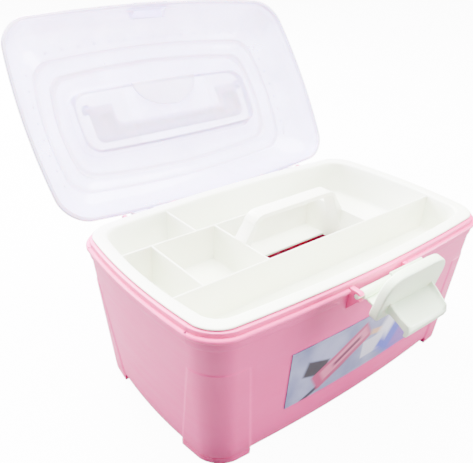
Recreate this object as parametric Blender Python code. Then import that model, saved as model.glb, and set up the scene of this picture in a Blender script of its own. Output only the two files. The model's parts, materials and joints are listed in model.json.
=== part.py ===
"""Hobby box: a pink tub with a lift-out divided tray, a clear hinged lid, a folding carry handle and a latch.

The tub stands on Z = 0 and its front faces -Y. The lid rests wide open and the latch rests unhooked, so
the origin, in the middle of the floor area that the open box covers, lies behind the middle of the tub.
"""

from math import copysign, cos, hypot, pi, radians, sin

import bmesh
import bpy
from mathutils import Matrix, Vector

MM = 0.001

# Gap kept between two pieces that touch, and the play of a pin in its bore.
FIT_GAP = 0.3 * MM
PIN_PLAY = 0.35 * MM

# Plan shape shared by tub, tray and lid: a rectangle with bowed sides, given by its corners' reach.
PLAN_LENGTH = 330 * MM
PLAN_WIDTH = 196 * MM
SIDE_BOW = 8 * MM
CORNER_STEPS = 6
SIDE_STEPS = 8

# Tub
TUB_WALL = 2.2 * MM
TUB_HEIGHT = 140 * MM
TUB_CORNER = 23 * MM
TUB_BASE_CORNER = 19 * MM
TUB_DRAFT_X = 12.5 * MM
TUB_DRAFT_Y = 9.5 * MM
FOOT_HEIGHT = 6 * MM
RIM_STEP = 4 * MM
BEAD_HEIGHT = 4 * MM
BEAD_REACH = 3 * MM
LIP_WIDTH = 5 * MM
LIP_CORNER = 24.5 * MM
BAND_HEIGHT = 125 * MM
BAND_STEP = 0.7 * MM
COLUMN_TOP = 100 * MM
COLUMN_PROUD = 1.2 * MM
COLUMN_CORNER = 19 * MM
COLUMN_FRONT = 32 * MM
COLUMN_SIDE_FOOT = 38 * MM
COLUMN_SIDE_TOP = 24 * MM
FOOT_TUCK = 1 * MM

# Lid
LID_WALL = 2 * MM
LID_SEAT_GAP = 1.4 * MM
LID_HEIGHT = 45.5 * MM
LID_CORNER = 25 * MM
LID_FLANGE_HEIGHT = 3.6 * MM
LID_SHOULDER = 30 * MM
LID_STEP = 46 * MM
LID_PANEL_DROP = 1.5 * MM
LID_SHOULDER_DROP = 6.5 * MM
LID_OPEN = radians(124)
RECESS_LENGTH = 216 * MM
RECESS_WIDTH = 64 * MM
RECESS_DEPTH = 13.5 * MM
RECESS_CORNER = 14 * MM
RECESS_DRAFT = 2 * MM
SCOOP_WIDTH = 76 * MM
SCOOP_REACH = 26 * MM
SCOOP_DEPTH = 2 * MM
STRIKE_WIDTH = 42 * MM
STRIKE_HEIGHT = 21 * MM
STRIKE_PROUD = 4.5 * MM

# Hinge between lid and tub
HINGE_BAR_RADIUS = 2.2 * MM
HINGE_BACK = 1.5 * MM
HINGE_HEIGHT = 133 * MM
HINGE_INNER = 58 * MM
HINGE_OUTER = 113 * MM
HINGE_LUG = 3.5 * MM
HINGE_LUG_RADIUS = 4.2 * MM
CLIP_WALL = 1.8 * MM
CLIP_LENGTH = 14 * MM
CLIP_CENTRES = (75 * MM, 96 * MM)

# Tray
TRAY_WALL = 1.8 * MM
TRAY_FLANGE = 11 * MM
TRAY_FLANGE_THICK = 2 * MM
TRAY_SET_IN = 6 * MM
TRAY_DEPTH = 38 * MM
TRAY_CORNER = 19 * MM
TRAY_BASE_CORNER = 12 * MM
TRAY_DRAFT = 3 * MM
TRAY_SKIRT = 3.2 * MM
TRAY_SKIRT_GAP = 0.8 * MM
DIVIDER = 1.8 * MM
DIVIDER_DROP = 2 * MM
ROW_Y = 38 * MM
BAY_X = 60 * MM
BAY_SLOT = 12 * MM
LEFT_CROSS_X = 126 * MM
BACK_CROSS_X = 80 * MM
GRIP_HEIGHT = 163 * MM
GRIP_WIDTH = 15 * MM
GRIP_THICK = 4 * MM
GRIP_HALF = 52 * MM
GRIP_CORNER = 13 * MM

# Latch, measured from its pin with its plate upright
LATCH_PIN_RADIUS = 2.2 * MM
LATCH_AXIS_PROUD = 4.2 * MM
LATCH_AXIS_HEIGHT = 132 * MM
LATCH_BARREL_RADIUS = 4.2 * MM
LATCH_BARREL_LENGTH = 58.4 * MM
LATCH_WIDTH = 72 * MM
LATCH_WALL = 2 * MM
LATCH_BACK = 15 * MM
LATCH_DEPTH = 8 * MM
LATCH_BELOW = 6 * MM
LATCH_ABOVE = 35 * MM
LATCH_CORNER = 18 * MM
LATCH_REST_TILT = radians(14)
LATCH_SHUT_TILT = radians(26.5)
LATCH_LUG = 5 * MM
LATCH_LUG_RADIUS = 4.6 * MM
WEB_WIDTH = 50 * MM
HOOK_WIDTH = 38 * MM
HOOK_TIP = 4 * MM
HOOK_THICK = 2.2 * MM
TAB_WIDTH = 54 * MM
TAB_REACH = 22 * MM
TAB_DROP = 7 * MM
TAB_THICK = 2.2 * MM
TAB_LIP = 6.5 * MM
TAB_RIM = 2.5 * MM
TAB_LEVEL = 5 * MM
BEAD_GAP_WIDTH = 72 * MM

# Lid carry handle
HANDLE_SPAN = 188 * MM
HANDLE_ARM_WIDTH = 26 * MM
HANDLE_THICK = 7 * MM
HANDLE_GRIP_WIDTH = 17 * MM
HANDLE_REACH = 36 * MM
HANDLE_PIVOT_Y = -13 * MM
HANDLE_PIVOT_RADIUS = 2.6 * MM
HANDLE_EAR = 5 * MM
HANDLE_EAR_RADIUS = 4.6 * MM
HANDLE_SIDE_GAP = 0.6 * MM

# Label on the front of the tub
LABEL_WIDTH = 172 * MM
LABEL_LOW = 34 * MM
LABEL_HIGH = 93 * MM
LABEL_THICK = 0.4 * MM

# Sizes that follow from the ones above
HALF_LENGTH = PLAN_LENGTH / 2
HALF_WIDTH = PLAN_WIDTH / 2
BEAD_TOP = TUB_HEIGHT - RIM_STEP
BEAD_FOOT = BEAD_TOP - BEAD_HEIGHT
WALL_HALF_LENGTH = HALF_LENGTH - BEAD_REACH
WALL_HALF_WIDTH = HALF_WIDTH - BEAD_REACH
LID_SEAT = BEAD_TOP + LID_SEAT_GAP
LID_TOP = LID_SEAT + LID_HEIGHT
HINGE_Y = HALF_WIDTH + SIDE_BOW + HINGE_BACK
LATCH_Y = -(HALF_WIDTH + SIDE_BOW + LATCH_AXIS_PROUD)
RECESS_FLOOR = LID_TOP - RECESS_DEPTH
HANDLE_PIVOT_Z = RECESS_FLOOR + FIT_GAP * 2 + HANDLE_THICK / 2
TRAY_SEAT = TUB_HEIGHT + FIT_GAP
TRAY_TOP = TRAY_SEAT + TRAY_FLANGE_THICK
STRIKE_TOP = LID_SEAT + STRIKE_HEIGHT


def clear_scene():
    """Removes the objects that the scene starts with."""
    for obj in list(bpy.data.objects):
        bpy.data.objects.remove(obj, do_unlink=True)


def new_collection(name, hidden=False):
    """A collection linked to the scene."""
    collection = bpy.data.collections.new(name)
    collection.hide_render = hidden
    bpy.context.scene.collection.children.link(collection)
    return collection


def finish_of(name, colour, roughness, alpha=1.0):
    """A plain Principled material."""
    material = bpy.data.materials.new(name)
    material.use_nodes = True
    shader = material.node_tree.nodes["Principled BSDF"]
    shader.inputs["Base Color"].default_value = (*colour, 1.0)
    shader.inputs["Roughness"].default_value = roughness
    shader.inputs["Metallic"].default_value = 0.0
    shader.inputs["Alpha"].default_value = alpha
    return material


def new_object(name, bm, collection, material=None):
    """Makes an object of the bmesh, with outward faces and smooth round parts."""
    bmesh.ops.recalc_face_normals(bm, faces=bm.faces)
    mesh = bpy.data.meshes.new(name)
    bm.to_mesh(mesh)
    bm.free()
    mesh.shade_smooth()
    mesh.set_sharp_from_angle(angle=radians(32))
    obj = bpy.data.objects.new(name, mesh)
    collection.objects.link(obj)
    if material:
        mesh.materials.append(material)
    return obj


def outline(half_length, half_width, corner, bow=SIDE_BOW):
    """Points of a rectangle with round corners and bowed sides, anticlockwise from the right-hand side."""
    corners = ((1, 1, 0), (-1, 1, 90), (-1, -1, 180), (1, -1, 270))
    points = []
    for index, (sign_x, sign_y, start) in enumerate(corners):
        centre = Vector((sign_x * (half_length - corner), sign_y * (half_width - corner)))
        for step in range(CORNER_STEPS + 1):
            turn = radians(start + 90 * step / CORNER_STEPS)
            points.append(centre + corner * Vector((cos(turn), sin(turn))))
        next_x, next_y, next_start = corners[(index + 1) % 4]
        next_centre = Vector((next_x * (half_length - corner), next_y * (half_width - corner)))
        next_turn = radians(next_start)
        ahead = next_centre + corner * Vector((cos(next_turn), sin(next_turn)))
        last = points[-1]
        points += [last.lerp(ahead, step / SIDE_STEPS) for step in range(1, SIDE_STEPS)]
    bowed = []
    for x, y in points:
        out_x = copysign(bow, x) * (1 - (y / half_width) ** 2) * abs(x) / half_length
        out_y = copysign(bow, y) * (1 - (x / half_length) ** 2) * abs(y) / half_width
        bowed.append(Vector((x + out_x, y + out_y)))
    return bowed


def loft(name, rings, collection, material=None):
    """A closed body through rings of equally many points, each given as (outline points, height)."""
    bm = bmesh.new()
    rows = [[bm.verts.new((x, y, z)) for x, y in points] for points, z in rings]
    count = len(rows[0])
    for low, high in zip(rows, rows[1:]):
        for i in range(count):
            j = (i + 1) % count
            bm.faces.new((low[i], low[j], high[j], high[i]))
    bm.faces.new(list(reversed(rows[0])))
    bm.faces.new(rows[-1])
    return new_object(name, bm, collection, material)


def box(name, low, high, collection):
    """A box between two corners."""
    low, high = Vector(low), Vector(high)
    bm = bmesh.new()
    bmesh.ops.create_cube(bm, size=1.0)
    bmesh.ops.scale(bm, vec=high - low, verts=bm.verts)
    bmesh.ops.translate(bm, vec=(low + high) / 2, verts=bm.verts)
    return new_object(name, bm, collection)


def rod(name, radius, low_x, high_x, y, z, collection, sides=24):
    """A cylinder along X."""
    bm = bmesh.new()
    turn = Matrix.Rotation(pi / 2, 4, "Y")
    place = Matrix.Translation(((low_x + high_x) / 2, y, z))
    bmesh.ops.create_cone(
        bm, cap_ends=True, segments=sides, radius1=radius, radius2=radius,
        depth=high_x - low_x, matrix=place @ turn,
    )
    return new_object(name, bm, collection)


def prism(name, points, start, end, axis, collection, material=None):
    """A flat outline pushed from start to end along X, Y or Z; points are in the other two axes, in order."""
    bm = bmesh.new()
    slot = "XYZ".index(axis)

    def placed(point, along):
        values = list(point)
        values.insert(slot, along)
        return Vector(values)

    face = bm.faces.new([bm.verts.new(placed(point, start)) for point in points])
    pushed = bmesh.ops.extrude_face_region(bm, geom=[face])["geom"]
    moved = [item for item in pushed if isinstance(item, bmesh.types.BMVert)]
    bmesh.ops.translate(bm, vec=placed((0, 0), end - start), verts=moved)
    return new_object(name, bm, collection, material)


def combine(target, operands, operation):
    """Adds one Boolean for each operand, which becomes a hidden child of the target."""
    for operand in operands:
        modifier = target.modifiers.new(operation.title() + " " + operand.name, "BOOLEAN")
        modifier.operation = operation
        modifier.object = operand
        modifier.solver = "EXACT"
        operand.parent = target
        operand.hide_render = True
        operand.display_type = "WIRE"


def arc_points(centre_a, centre_b, radius, start, end, steps):
    """Points of an arc, angles in degrees."""
    turns = [radians(start + (end - start) * step / steps) for step in range(steps + 1)]
    return [(centre_a + radius * cos(turn), centre_b + radius * sin(turn)) for turn in turns]


def at_inset(inset, corner, bow=SIDE_BOW):
    """The plan outline moved inwards."""
    return outline(HALF_LENGTH - inset, HALF_WIDTH - inset, corner, bow)


def bow_at(x, half_length=HALF_LENGTH):
    """How far a long side stands out of its corners' line at x."""
    return SIDE_BOW * (1 - (x / half_length) ** 2)


def wall_outline(height, inset=0.0, proud=0.0, corner=None):
    """Outline of the tub's drafted wall at a height above the floor."""
    share = (BEAD_FOOT - height) / (BEAD_FOOT - FOOT_HEIGHT)
    if corner is None:
        corner = TUB_CORNER + (TUB_BASE_CORNER - TUB_CORNER) * share
    return outline(
        WALL_HALF_LENGTH - TUB_DRAFT_X * share - inset + proud,
        WALL_HALF_WIDTH - TUB_DRAFT_Y * share - inset + proud,
        max(corner - inset, 4 * MM),
    )


def front_wall_y(height, x=0.0):
    """Y of the tub's outer front face at a height and at x."""
    share = (BEAD_FOOT - height) / (BEAD_FOOT - FOOT_HEIGHT)
    half_length = WALL_HALF_LENGTH - TUB_DRAFT_X * share
    return -(WALL_HALF_WIDTH - TUB_DRAFT_Y * share + bow_at(x, half_length))


def make_columns(cutters):
    """The four corner columns, which stand a little proud of the wall and end in the feet."""
    columns = loft("foot_columns", (
        (wall_outline(0, proud=COLUMN_PROUD - FOOT_TUCK, corner=COLUMN_CORNER - FOOT_TUCK), 0),
        (wall_outline(FOOT_HEIGHT / 3, proud=COLUMN_PROUD, corner=COLUMN_CORNER), FOOT_HEIGHT / 3),
        (wall_outline(COLUMN_TOP, proud=0.2 * MM), COLUMN_TOP),
    ), cutters)
    reach = HALF_LENGTH * 2

    def gap(name, half_foot, half_top, axis):
        low, high = -1 * MM, COLUMN_TOP + 1 * MM
        points = [(-half_foot, low), (half_foot, low), (half_top, high), (-half_top, high)]
        return prism(name, points, -reach, reach, axis, cutters)

    share = (BEAD_FOOT - COLUMN_TOP) / (BEAD_FOOT - FOOT_HEIGHT)
    foot_length, foot_width = WALL_HALF_LENGTH - TUB_DRAFT_X, WALL_HALF_WIDTH - TUB_DRAFT_Y
    top_length, top_width = WALL_HALF_LENGTH - TUB_DRAFT_X * share, WALL_HALF_WIDTH - TUB_DRAFT_Y * share
    front_gap = gap("column_gap_front", foot_length - COLUMN_FRONT, top_length - COLUMN_FRONT, "Y")
    side_gap = gap("column_gap_side", foot_width - COLUMN_SIDE_FOOT, top_width - COLUMN_SIDE_TOP, "X")
    combine(columns, (front_gap, side_gap), "DIFFERENCE")
    return columns


def make_bead(cutters):
    """The ridge round the tub that the lid sits down to, open at the latch and at the two hinges."""
    bead = loft("rim_bead", (
        (at_inset(BEAD_REACH + TUB_WALL / 2, TUB_CORNER), BEAD_FOOT),
        (at_inset(0, TUB_CORNER + BEAD_REACH), BEAD_FOOT + 1 * MM),
        (at_inset(0, TUB_CORNER + BEAD_REACH), BEAD_TOP),
        (at_inset(BEAD_REACH + TUB_WALL / 2, TUB_CORNER), BEAD_TOP),
    ), cutters)
    low, high = BEAD_FOOT - 1 * MM, BEAD_TOP + 1 * MM
    far = HALF_WIDTH * 2
    gaps = [box("bead_gap_latch", (-BEAD_GAP_WIDTH / 2, -far, low), (BEAD_GAP_WIDTH / 2, 0, high), cutters)]
    for side, sign in (("left", -1), ("right", 1)):
        ends = sorted((sign * HINGE_INNER, sign * HINGE_OUTER))
        gaps.append(box("bead_gap_" + side, (ends[0], 0, low), (ends[1], far, high), cutters))
    combine(bead, gaps, "DIFFERENCE")
    return bead


def make_hinge_bars(cutters):
    """The moulded bars and lugs at the back that the lid's clips snap over."""
    pieces = []
    for side, sign in (("left", -1), ("right", 1)):
        ends = sorted((sign * HINGE_INNER, sign * HINGE_OUTER))
        pieces.append(rod(
            "hinge_bar_" + side, HINGE_BAR_RADIUS, ends[0] - HINGE_LUG / 2, ends[1] + HINGE_LUG / 2,
            HINGE_Y, HINGE_HEIGHT, cutters,
        ))
        for number, end in enumerate(ends):
            arc = arc_points(HINGE_Y, HINGE_HEIGHT, HINGE_LUG_RADIUS, 80, -70, 8)
            root = HALF_WIDTH - BEAD_REACH - TUB_WALL / 2 + bow_at(end)
            points = arc + [(root, HINGE_HEIGHT - 13 * MM), (root, BEAD_TOP)]
            pieces.append(prism(
                f"hinge_lug_{side}_{number}", points, end - HINGE_LUG / 2, end + HINGE_LUG / 2, "X", cutters,
            ))
    return pieces


def make_latch_lugs(cutters):
    """The two slotted lugs at the rim that the latch's pin snaps into, and their bores and slots."""
    lugs, cuts = [], []
    bore = LATCH_PIN_RADIUS + PIN_PLAY
    inner = LATCH_BARREL_LENGTH / 2 + FIT_GAP * 2
    for side, sign in (("left", -1), ("right", 1)):
        low, high = sorted((sign * inner, sign * (inner + LATCH_LUG)))
        arc = arc_points(LATCH_Y, LATCH_AXIS_HEIGHT, LATCH_LUG_RADIUS, 90, 250, 9)
        root = front_wall_y(LATCH_AXIS_HEIGHT, inner) + TUB_WALL / 2
        points = arc + [(root, LATCH_AXIS_HEIGHT - 16 * MM), (root, LATCH_AXIS_HEIGHT + LATCH_LUG_RADIUS)]
        lugs.append(prism("latch_lug_" + side, points, low, high, "X", cutters))
        cuts.append(rod("latch_bore_" + side, bore, low - 1 * MM, high + 1 * MM, LATCH_Y, LATCH_AXIS_HEIGHT, cutters))
        mouth = bore * 0.8
        cuts.append(box(
            "latch_mouth_" + side, (low - 1 * MM, LATCH_Y - 8 * MM, LATCH_AXIS_HEIGHT - mouth),
            (high + 1 * MM, LATCH_Y, LATCH_AXIS_HEIGHT + mouth), cutters,
        ))
    return lugs, cuts


def make_tub(parts, cutters, material):
    """The tub: drafted wall, stepped rim, feet, hinge bars and latch lugs."""
    lip = BEAD_REACH + 0.2 * MM
    body = loft("tub", (
        (wall_outline(FOOT_HEIGHT), FOOT_HEIGHT),
        (wall_outline(BAND_HEIGHT - BAND_STEP, inset=BAND_STEP), BAND_HEIGHT - BAND_STEP),
        (wall_outline(BAND_HEIGHT), BAND_HEIGHT),
        (wall_outline(BEAD_FOOT), BEAD_FOOT),
        (at_inset(lip, LIP_CORNER), BEAD_TOP),
        (at_inset(lip, LIP_CORNER), TUB_HEIGHT),
        (at_inset(lip + LIP_WIDTH, LIP_CORNER - LIP_WIDTH), TUB_HEIGHT),
        (at_inset(lip + LIP_WIDTH, LIP_CORNER - LIP_WIDTH), TUB_HEIGHT - TUB_WALL),
        (at_inset(lip + TUB_WALL, LIP_CORNER - TUB_WALL), TUB_HEIGHT - TUB_WALL),
        (wall_outline(BEAD_FOOT, inset=TUB_WALL), BEAD_FOOT),
        (wall_outline(FOOT_HEIGHT + TUB_WALL, inset=TUB_WALL), FOOT_HEIGHT + TUB_WALL),
    ), parts, material)
    half_wall = TUB_WALL / 2
    core = loft("tub_core", (
        (wall_outline(FOOT_HEIGHT + half_wall, inset=half_wall), FOOT_HEIGHT + half_wall),
        (wall_outline(BEAD_FOOT, inset=half_wall), BEAD_FOOT),
        (at_inset(lip + half_wall, LIP_CORNER - half_wall), BEAD_TOP),
        (at_inset(lip + half_wall, LIP_CORNER - half_wall), TUB_HEIGHT),
    ), cutters)
    columns, bead = make_columns(cutters), make_bead(cutters)
    lugs, cuts = make_latch_lugs(cutters)
    additions = [columns, bead, *make_hinge_bars(cutters), *lugs]
    for addition in additions:
        combine(addition, (core,), "DIFFERENCE")
    core.parent = body
    combine(body, additions, "UNION")
    combine(body, cuts, "DIFFERENCE")
    return body


def tray_ring(inset, corner, height):
    """One ring of the tray, measured inwards from its flange's edge."""
    return at_inset(TRAY_SET_IN + inset, corner), height


def make_tray(parts, cutters, material):
    """The lift-out tray: flange, divided pockets, open bay and arched grip. Its origin is on the tub's lip."""
    floor = TRAY_TOP - TRAY_DEPTH
    root = TRAY_FLANGE - TRAY_WALL
    skirt = BEAD_REACH + 0.2 * MM + LIP_WIDTH + TRAY_SKIRT_GAP - TRAY_SET_IN
    tray = loft("tray", (
        tray_ring(root + TRAY_DRAFT, TRAY_BASE_CORNER, floor),
        tray_ring(root, TRAY_CORNER - 4 * MM, TRAY_SEAT),
        tray_ring(skirt + TRAY_WALL, TRAY_CORNER - 2 * MM, TRAY_SEAT),
        tray_ring(skirt + TRAY_WALL, TRAY_CORNER - 2 * MM, TRAY_SEAT - TRAY_SKIRT),
        tray_ring(skirt, TRAY_CORNER - 1 * MM, TRAY_SEAT - TRAY_SKIRT),
        tray_ring(skirt, TRAY_CORNER - 1 * MM, TRAY_SEAT),
        tray_ring(0, TRAY_CORNER, TRAY_SEAT),
        tray_ring(0, TRAY_CORNER, TRAY_TOP),
        tray_ring(TRAY_FLANGE, TRAY_CORNER - 5 * MM, TRAY_TOP),
        tray_ring(TRAY_FLANGE + TRAY_DRAFT, TRAY_BASE_CORNER - 1 * MM, floor + TRAY_WALL),
    ), parts, material)
    core = loft("tray_core", (
        tray_ring(root + TRAY_DRAFT + TRAY_WALL / 2, TRAY_BASE_CORNER, floor + TRAY_WALL / 2),
        tray_ring(root + TRAY_WALL / 2, TRAY_CORNER - 4 * MM, TRAY_TOP),
    ), cutters)

    top = TRAY_TOP - DIVIDER_DROP
    half = DIVIDER / 2
    far = PLAN_LENGTH
    row_end = BAY_X
    runs = {
        "divider_front": ((-far, -ROW_Y - half), (far, -ROW_Y + half)),
        "divider_back": ((-far, ROW_Y - half), (row_end + half, ROW_Y + half)),
        "divider_bay_left": ((-BAY_X - half, -ROW_Y), (-BAY_X + half, ROW_Y)),
        "divider_bay_right": ((BAY_X - half, -ROW_Y), (BAY_X + half, ROW_Y)),
        "divider_cross_left": ((-LEFT_CROSS_X - half, -ROW_Y), (-LEFT_CROSS_X + half, ROW_Y)),
        "divider_cross_back": ((-BACK_CROSS_X - half, ROW_Y), (-BACK_CROSS_X + half, far)),
    }
    for name, (low, high) in runs.items():
        divider = box(name, (*low, floor + TRAY_WALL / 2), (*high, top), cutters)
        combine(divider, (core,), "INTERSECT")
        combine(tray, (divider,), "UNION")
        core.parent = tray
    slot = box(
        "bay_slot", (-BAY_X + half, -BAY_SLOT, floor - 1 * MM), (BAY_X - half, BAY_SLOT, top + 1 * MM), cutters,
    )
    combine(tray, (slot,), "DIFFERENCE")
    combine(tray, (make_grip(cutters, floor),), "UNION")
    return tray


def make_grip(cutters, floor):
    """The tray's arched grip, which grows out of the bay's end walls."""
    rise = GRIP_HEIGHT - GRIP_CORNER
    foot = floor + TRAY_DEPTH / 3
    spread = BAY_X + DIVIDER / 2
    inner = GRIP_CORNER - GRIP_THICK
    outside = arc_points(GRIP_HALF - GRIP_CORNER, rise, GRIP_CORNER, 15, 90, 6)
    inside = arc_points(GRIP_HALF - GRIP_CORNER, rise, inner, 90, 15, 6)
    right = [(spread, foot), (spread, TRAY_TOP - DIVIDER_DROP)] + outside
    left = [(-x, z) for x, z in reversed(right)]
    under = inside + [(spread - GRIP_THICK, foot + 12 * MM), (spread - DIVIDER / 2, foot)]
    under_left = [(-x, z) for x, z in reversed(under)]
    return prism("grip_arch", right + left + under_left + under, -GRIP_WIDTH / 2, GRIP_WIDTH / 2, "Y", cutters)


def lid_profile():
    """Outer wall of the closed lid, as (inset, height above its seat), from the seat to the top panel."""
    shoulder = LID_HEIGHT - LID_SHOULDER_DROP
    return (
        (0.8 * MM, 0.0),
        (0.0, 0.6 * MM),
        (0.0, LID_FLANGE_HEIGHT),
        (1.3 * MM, LID_FLANGE_HEIGHT + 0.6 * MM),
        (3.2 * MM, LID_FLANGE_HEIGHT + 9 * MM),
        (8.5 * MM, LID_FLANGE_HEIGHT + 19 * MM),
        (17.5 * MM, LID_FLANGE_HEIGHT + 29 * MM),
        (LID_SHOULDER, shoulder),
        (LID_STEP, LID_HEIGHT - LID_PANEL_DROP),
        (LID_STEP + 6 * MM, LID_HEIGHT),
    )


def lid_corner(inset):
    """Corner radius of the lid at an inset, which shrinks less than the inset does."""
    return max(LID_CORNER - 0.3 * inset, 10 * MM)


def lid_rings():
    """Rings of the lid's shell: up the outer wall, over the seat and up the inner wall, as a closed body."""
    profile = lid_profile()
    outer = [(at_inset(inset, lid_corner(inset)), LID_SEAT + rise) for inset, rise in reversed(profile)]
    inner = []
    for (inset, rise), (ahead_inset, ahead_rise) in zip(profile[3:], profile[4:]):
        run, climb = ahead_inset - inset, ahead_rise - rise
        length = hypot(run, climb)
        in_more, down = LID_WALL * climb / length, LID_WALL * run / length
        place = inset + in_more
        inner.append((at_inset(place, lid_corner(place)), LID_SEAT + rise - down))
    seat_inset = BEAD_REACH - 0.4 * MM
    seat = [(at_inset(seat_inset, LID_CORNER - 1 * MM), LID_SEAT)]
    last_inset = profile[-1][0] + LID_WALL
    crown = [(at_inset(last_inset, lid_corner(last_inset)), LID_TOP - LID_WALL)]
    return outer + seat + inner + crown


def recess_outline(grow=0.0):
    """Plan outline of the handle recess."""
    return outline(RECESS_LENGTH / 2 + grow, RECESS_WIDTH / 2 + grow, RECESS_CORNER + grow, bow=2 * MM)


def make_recess(cutters):
    """The handle recess as a cup to add and a hollow to take away, with a finger scoop at its front."""
    floor = RECESS_FLOOR
    cup = loft("recess_cup", (
        (recess_outline(LID_WALL - RECESS_DRAFT), floor - LID_WALL),
        (recess_outline(LID_WALL), LID_TOP - LID_WALL / 2),
    ), cutters)
    hollow = loft("recess_hollow", (
        (recess_outline(-RECESS_DRAFT), floor),
        (recess_outline(0), LID_TOP + 1 * MM),
    ), cutters)
    edge = -RECESS_WIDTH / 2 + RECESS_DRAFT
    half = SCOOP_WIDTH / 2
    scoop_arc = arc_points(0, 0, 1, 0, 180, 12)
    scoop = [(half * a, edge + SCOOP_REACH * b) for a, b in scoop_arc]
    grown = [((half + LID_WALL) * a, edge + (SCOOP_REACH + LID_WALL) * b) for a, b in scoop_arc]
    grown = grown + [(-half - LID_WALL, edge - LID_WALL), (half + LID_WALL, edge - LID_WALL)]
    pan = prism("scoop_pan", grown, floor - LID_WALL - SCOOP_DEPTH, floor - LID_WALL / 2, "Z", cutters)
    dish = prism("scoop_dish", scoop, floor - SCOOP_DEPTH, floor + 1 * MM, "Z", cutters)
    return (cup, pan), (hollow, dish)


def make_ears(cutters):
    """The two ears in the recess that carry the handle's stubs."""
    ears = []
    inner = HANDLE_SPAN / 2 + HANDLE_SIDE_GAP
    arc = arc_points(HANDLE_PIVOT_Y, HANDLE_PIVOT_Z, HANDLE_EAR_RADIUS, 0, 180, 10)
    foot = RECESS_FLOOR - LID_WALL / 2
    points = arc + [(HANDLE_PIVOT_Y - HANDLE_EAR_RADIUS, foot), (HANDLE_PIVOT_Y + HANDLE_EAR_RADIUS, foot)]
    for side, sign in (("left", -1), ("right", 1)):
        ends = sorted((sign * inner, sign * (inner + HANDLE_EAR)))
        ears.append(prism("handle_ear_" + side, points, ends[0], ends[1], "X", cutters))
    return ears


def make_strike(cutters):
    """The hollow block on the lid's front that the latch hooks over; its back lies within the lid's wall."""
    half = STRIKE_WIDTH / 2
    wall = HALF_WIDTH + SIDE_BOW - LID_WALL / 2
    front = -(HALF_WIDTH + SIDE_BOW + STRIKE_PROUD)
    low, high = LID_SEAT + LID_FLANGE_HEIGHT - 1.5 * MM, STRIKE_TOP
    wedge = [(front + 2.5 * MM, low), (front + 2.5 * MM, high - 6 * MM), (front, high - 4 * MM), (front, high)]
    covered = [(inset, rise) for inset, rise in lid_profile() if LID_FLANGE_HEIGHT < rise < STRIKE_HEIGHT]
    covered.append(rise_above(covered[-1], STRIKE_HEIGHT))
    inside = [(inset - wall, LID_SEAT + rise) for inset, rise in reversed(covered)]
    return prism("strike_block", wedge + inside + [(-wall, low)], -half, half, "X", cutters)


def rise_above(last, height):
    """Where the lid's outer wall reaches a height, from the profile point last passed."""
    profile = lid_profile()
    ahead = profile[profile.index(last) + 1]
    share = (height - last[1]) / (ahead[1] - last[1])
    return last[0] + (ahead[0] - last[0]) * share, height


def make_strike_hollow(cutters):
    """What is taken out of the strike from inside the lid."""
    half = STRIKE_WIDTH / 2 - LID_WALL
    front = -(HALF_WIDTH + SIDE_BOW + STRIKE_PROUD) + 2.5 * MM + LID_WALL
    back = -(HALF_WIDTH + SIDE_BOW - 19 * MM)
    low, high = LID_SEAT + LID_FLANGE_HEIGHT + 2 * MM, STRIKE_TOP - LID_WALL
    points = [(front, low), (front, high), (back + 5 * MM, high), (back, low)]
    return prism("strike_hollow", points, -half, half, "X", cutters)


def make_clips(cutters):
    """The four C clips that hang the lid on the tub's hinge bars, with their bores and mouths."""
    clips, cuts = [], []
    bore = HINGE_BAR_RADIUS + PIN_PLAY
    outer = bore + CLIP_WALL
    for side, sign in (("left", -1), ("right", 1)):
        for number, centre in enumerate(CLIP_CENTRES):
            low = sign * centre - CLIP_LENGTH / 2
            high = low + CLIP_LENGTH
            lid_y = HALF_WIDTH + bow_at(centre)
            arc = arc_points(HINGE_Y, HINGE_HEIGHT, outer, 60, -150, 14)
            points = [(lid_y - 2 * MM, LID_SEAT + LID_FLANGE_HEIGHT)] + arc
            points += [(HINGE_Y - outer, LID_SEAT + 0.4 * MM), (lid_y - 2 * MM, LID_SEAT + 0.4 * MM)]
            name = f"{side}_{number}"
            clips.append(prism("clip_" + name, points, low, high, "X", cutters))
            cuts.append(rod("clip_bore_" + name, bore, low - 1 * MM, high + 1 * MM, HINGE_Y, HINGE_HEIGHT, cutters))
            mouth = bore * 0.8
            cuts.append(box(
                "clip_mouth_" + name, (low - 1 * MM, HINGE_Y - mouth, HINGE_HEIGHT - outer - 2 * MM),
                (high + 1 * MM, HINGE_Y + mouth, HINGE_HEIGHT), cutters,
            ))
    return clips, cuts


def make_lid(parts, cutters, material):
    """The clear lid, modelled closed about its hinge axis and then swung open."""
    lid = loft("lid", lid_rings(), parts, material)
    (cup, pan), (hollow, dish) = make_recess(cutters)
    clips, clip_cuts = make_clips(cutters)
    combine(lid, (cup, pan, make_strike(cutters), *clips), "UNION")
    combine(lid, (hollow, dish, make_strike_hollow(cutters), *clip_cuts), "DIFFERENCE")
    combine(lid, make_ears(cutters), "UNION")
    bore = HANDLE_PIVOT_RADIUS + PIN_PLAY
    reach = HANDLE_SPAN / 2 + HANDLE_SIDE_GAP + HANDLE_EAR + 1 * MM
    pivot_bore = rod("handle_bore", bore, -reach, reach, HANDLE_PIVOT_Y, HANDLE_PIVOT_Z, cutters)
    combine(lid, (pivot_bore,), "DIFFERENCE")
    return lid


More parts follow.
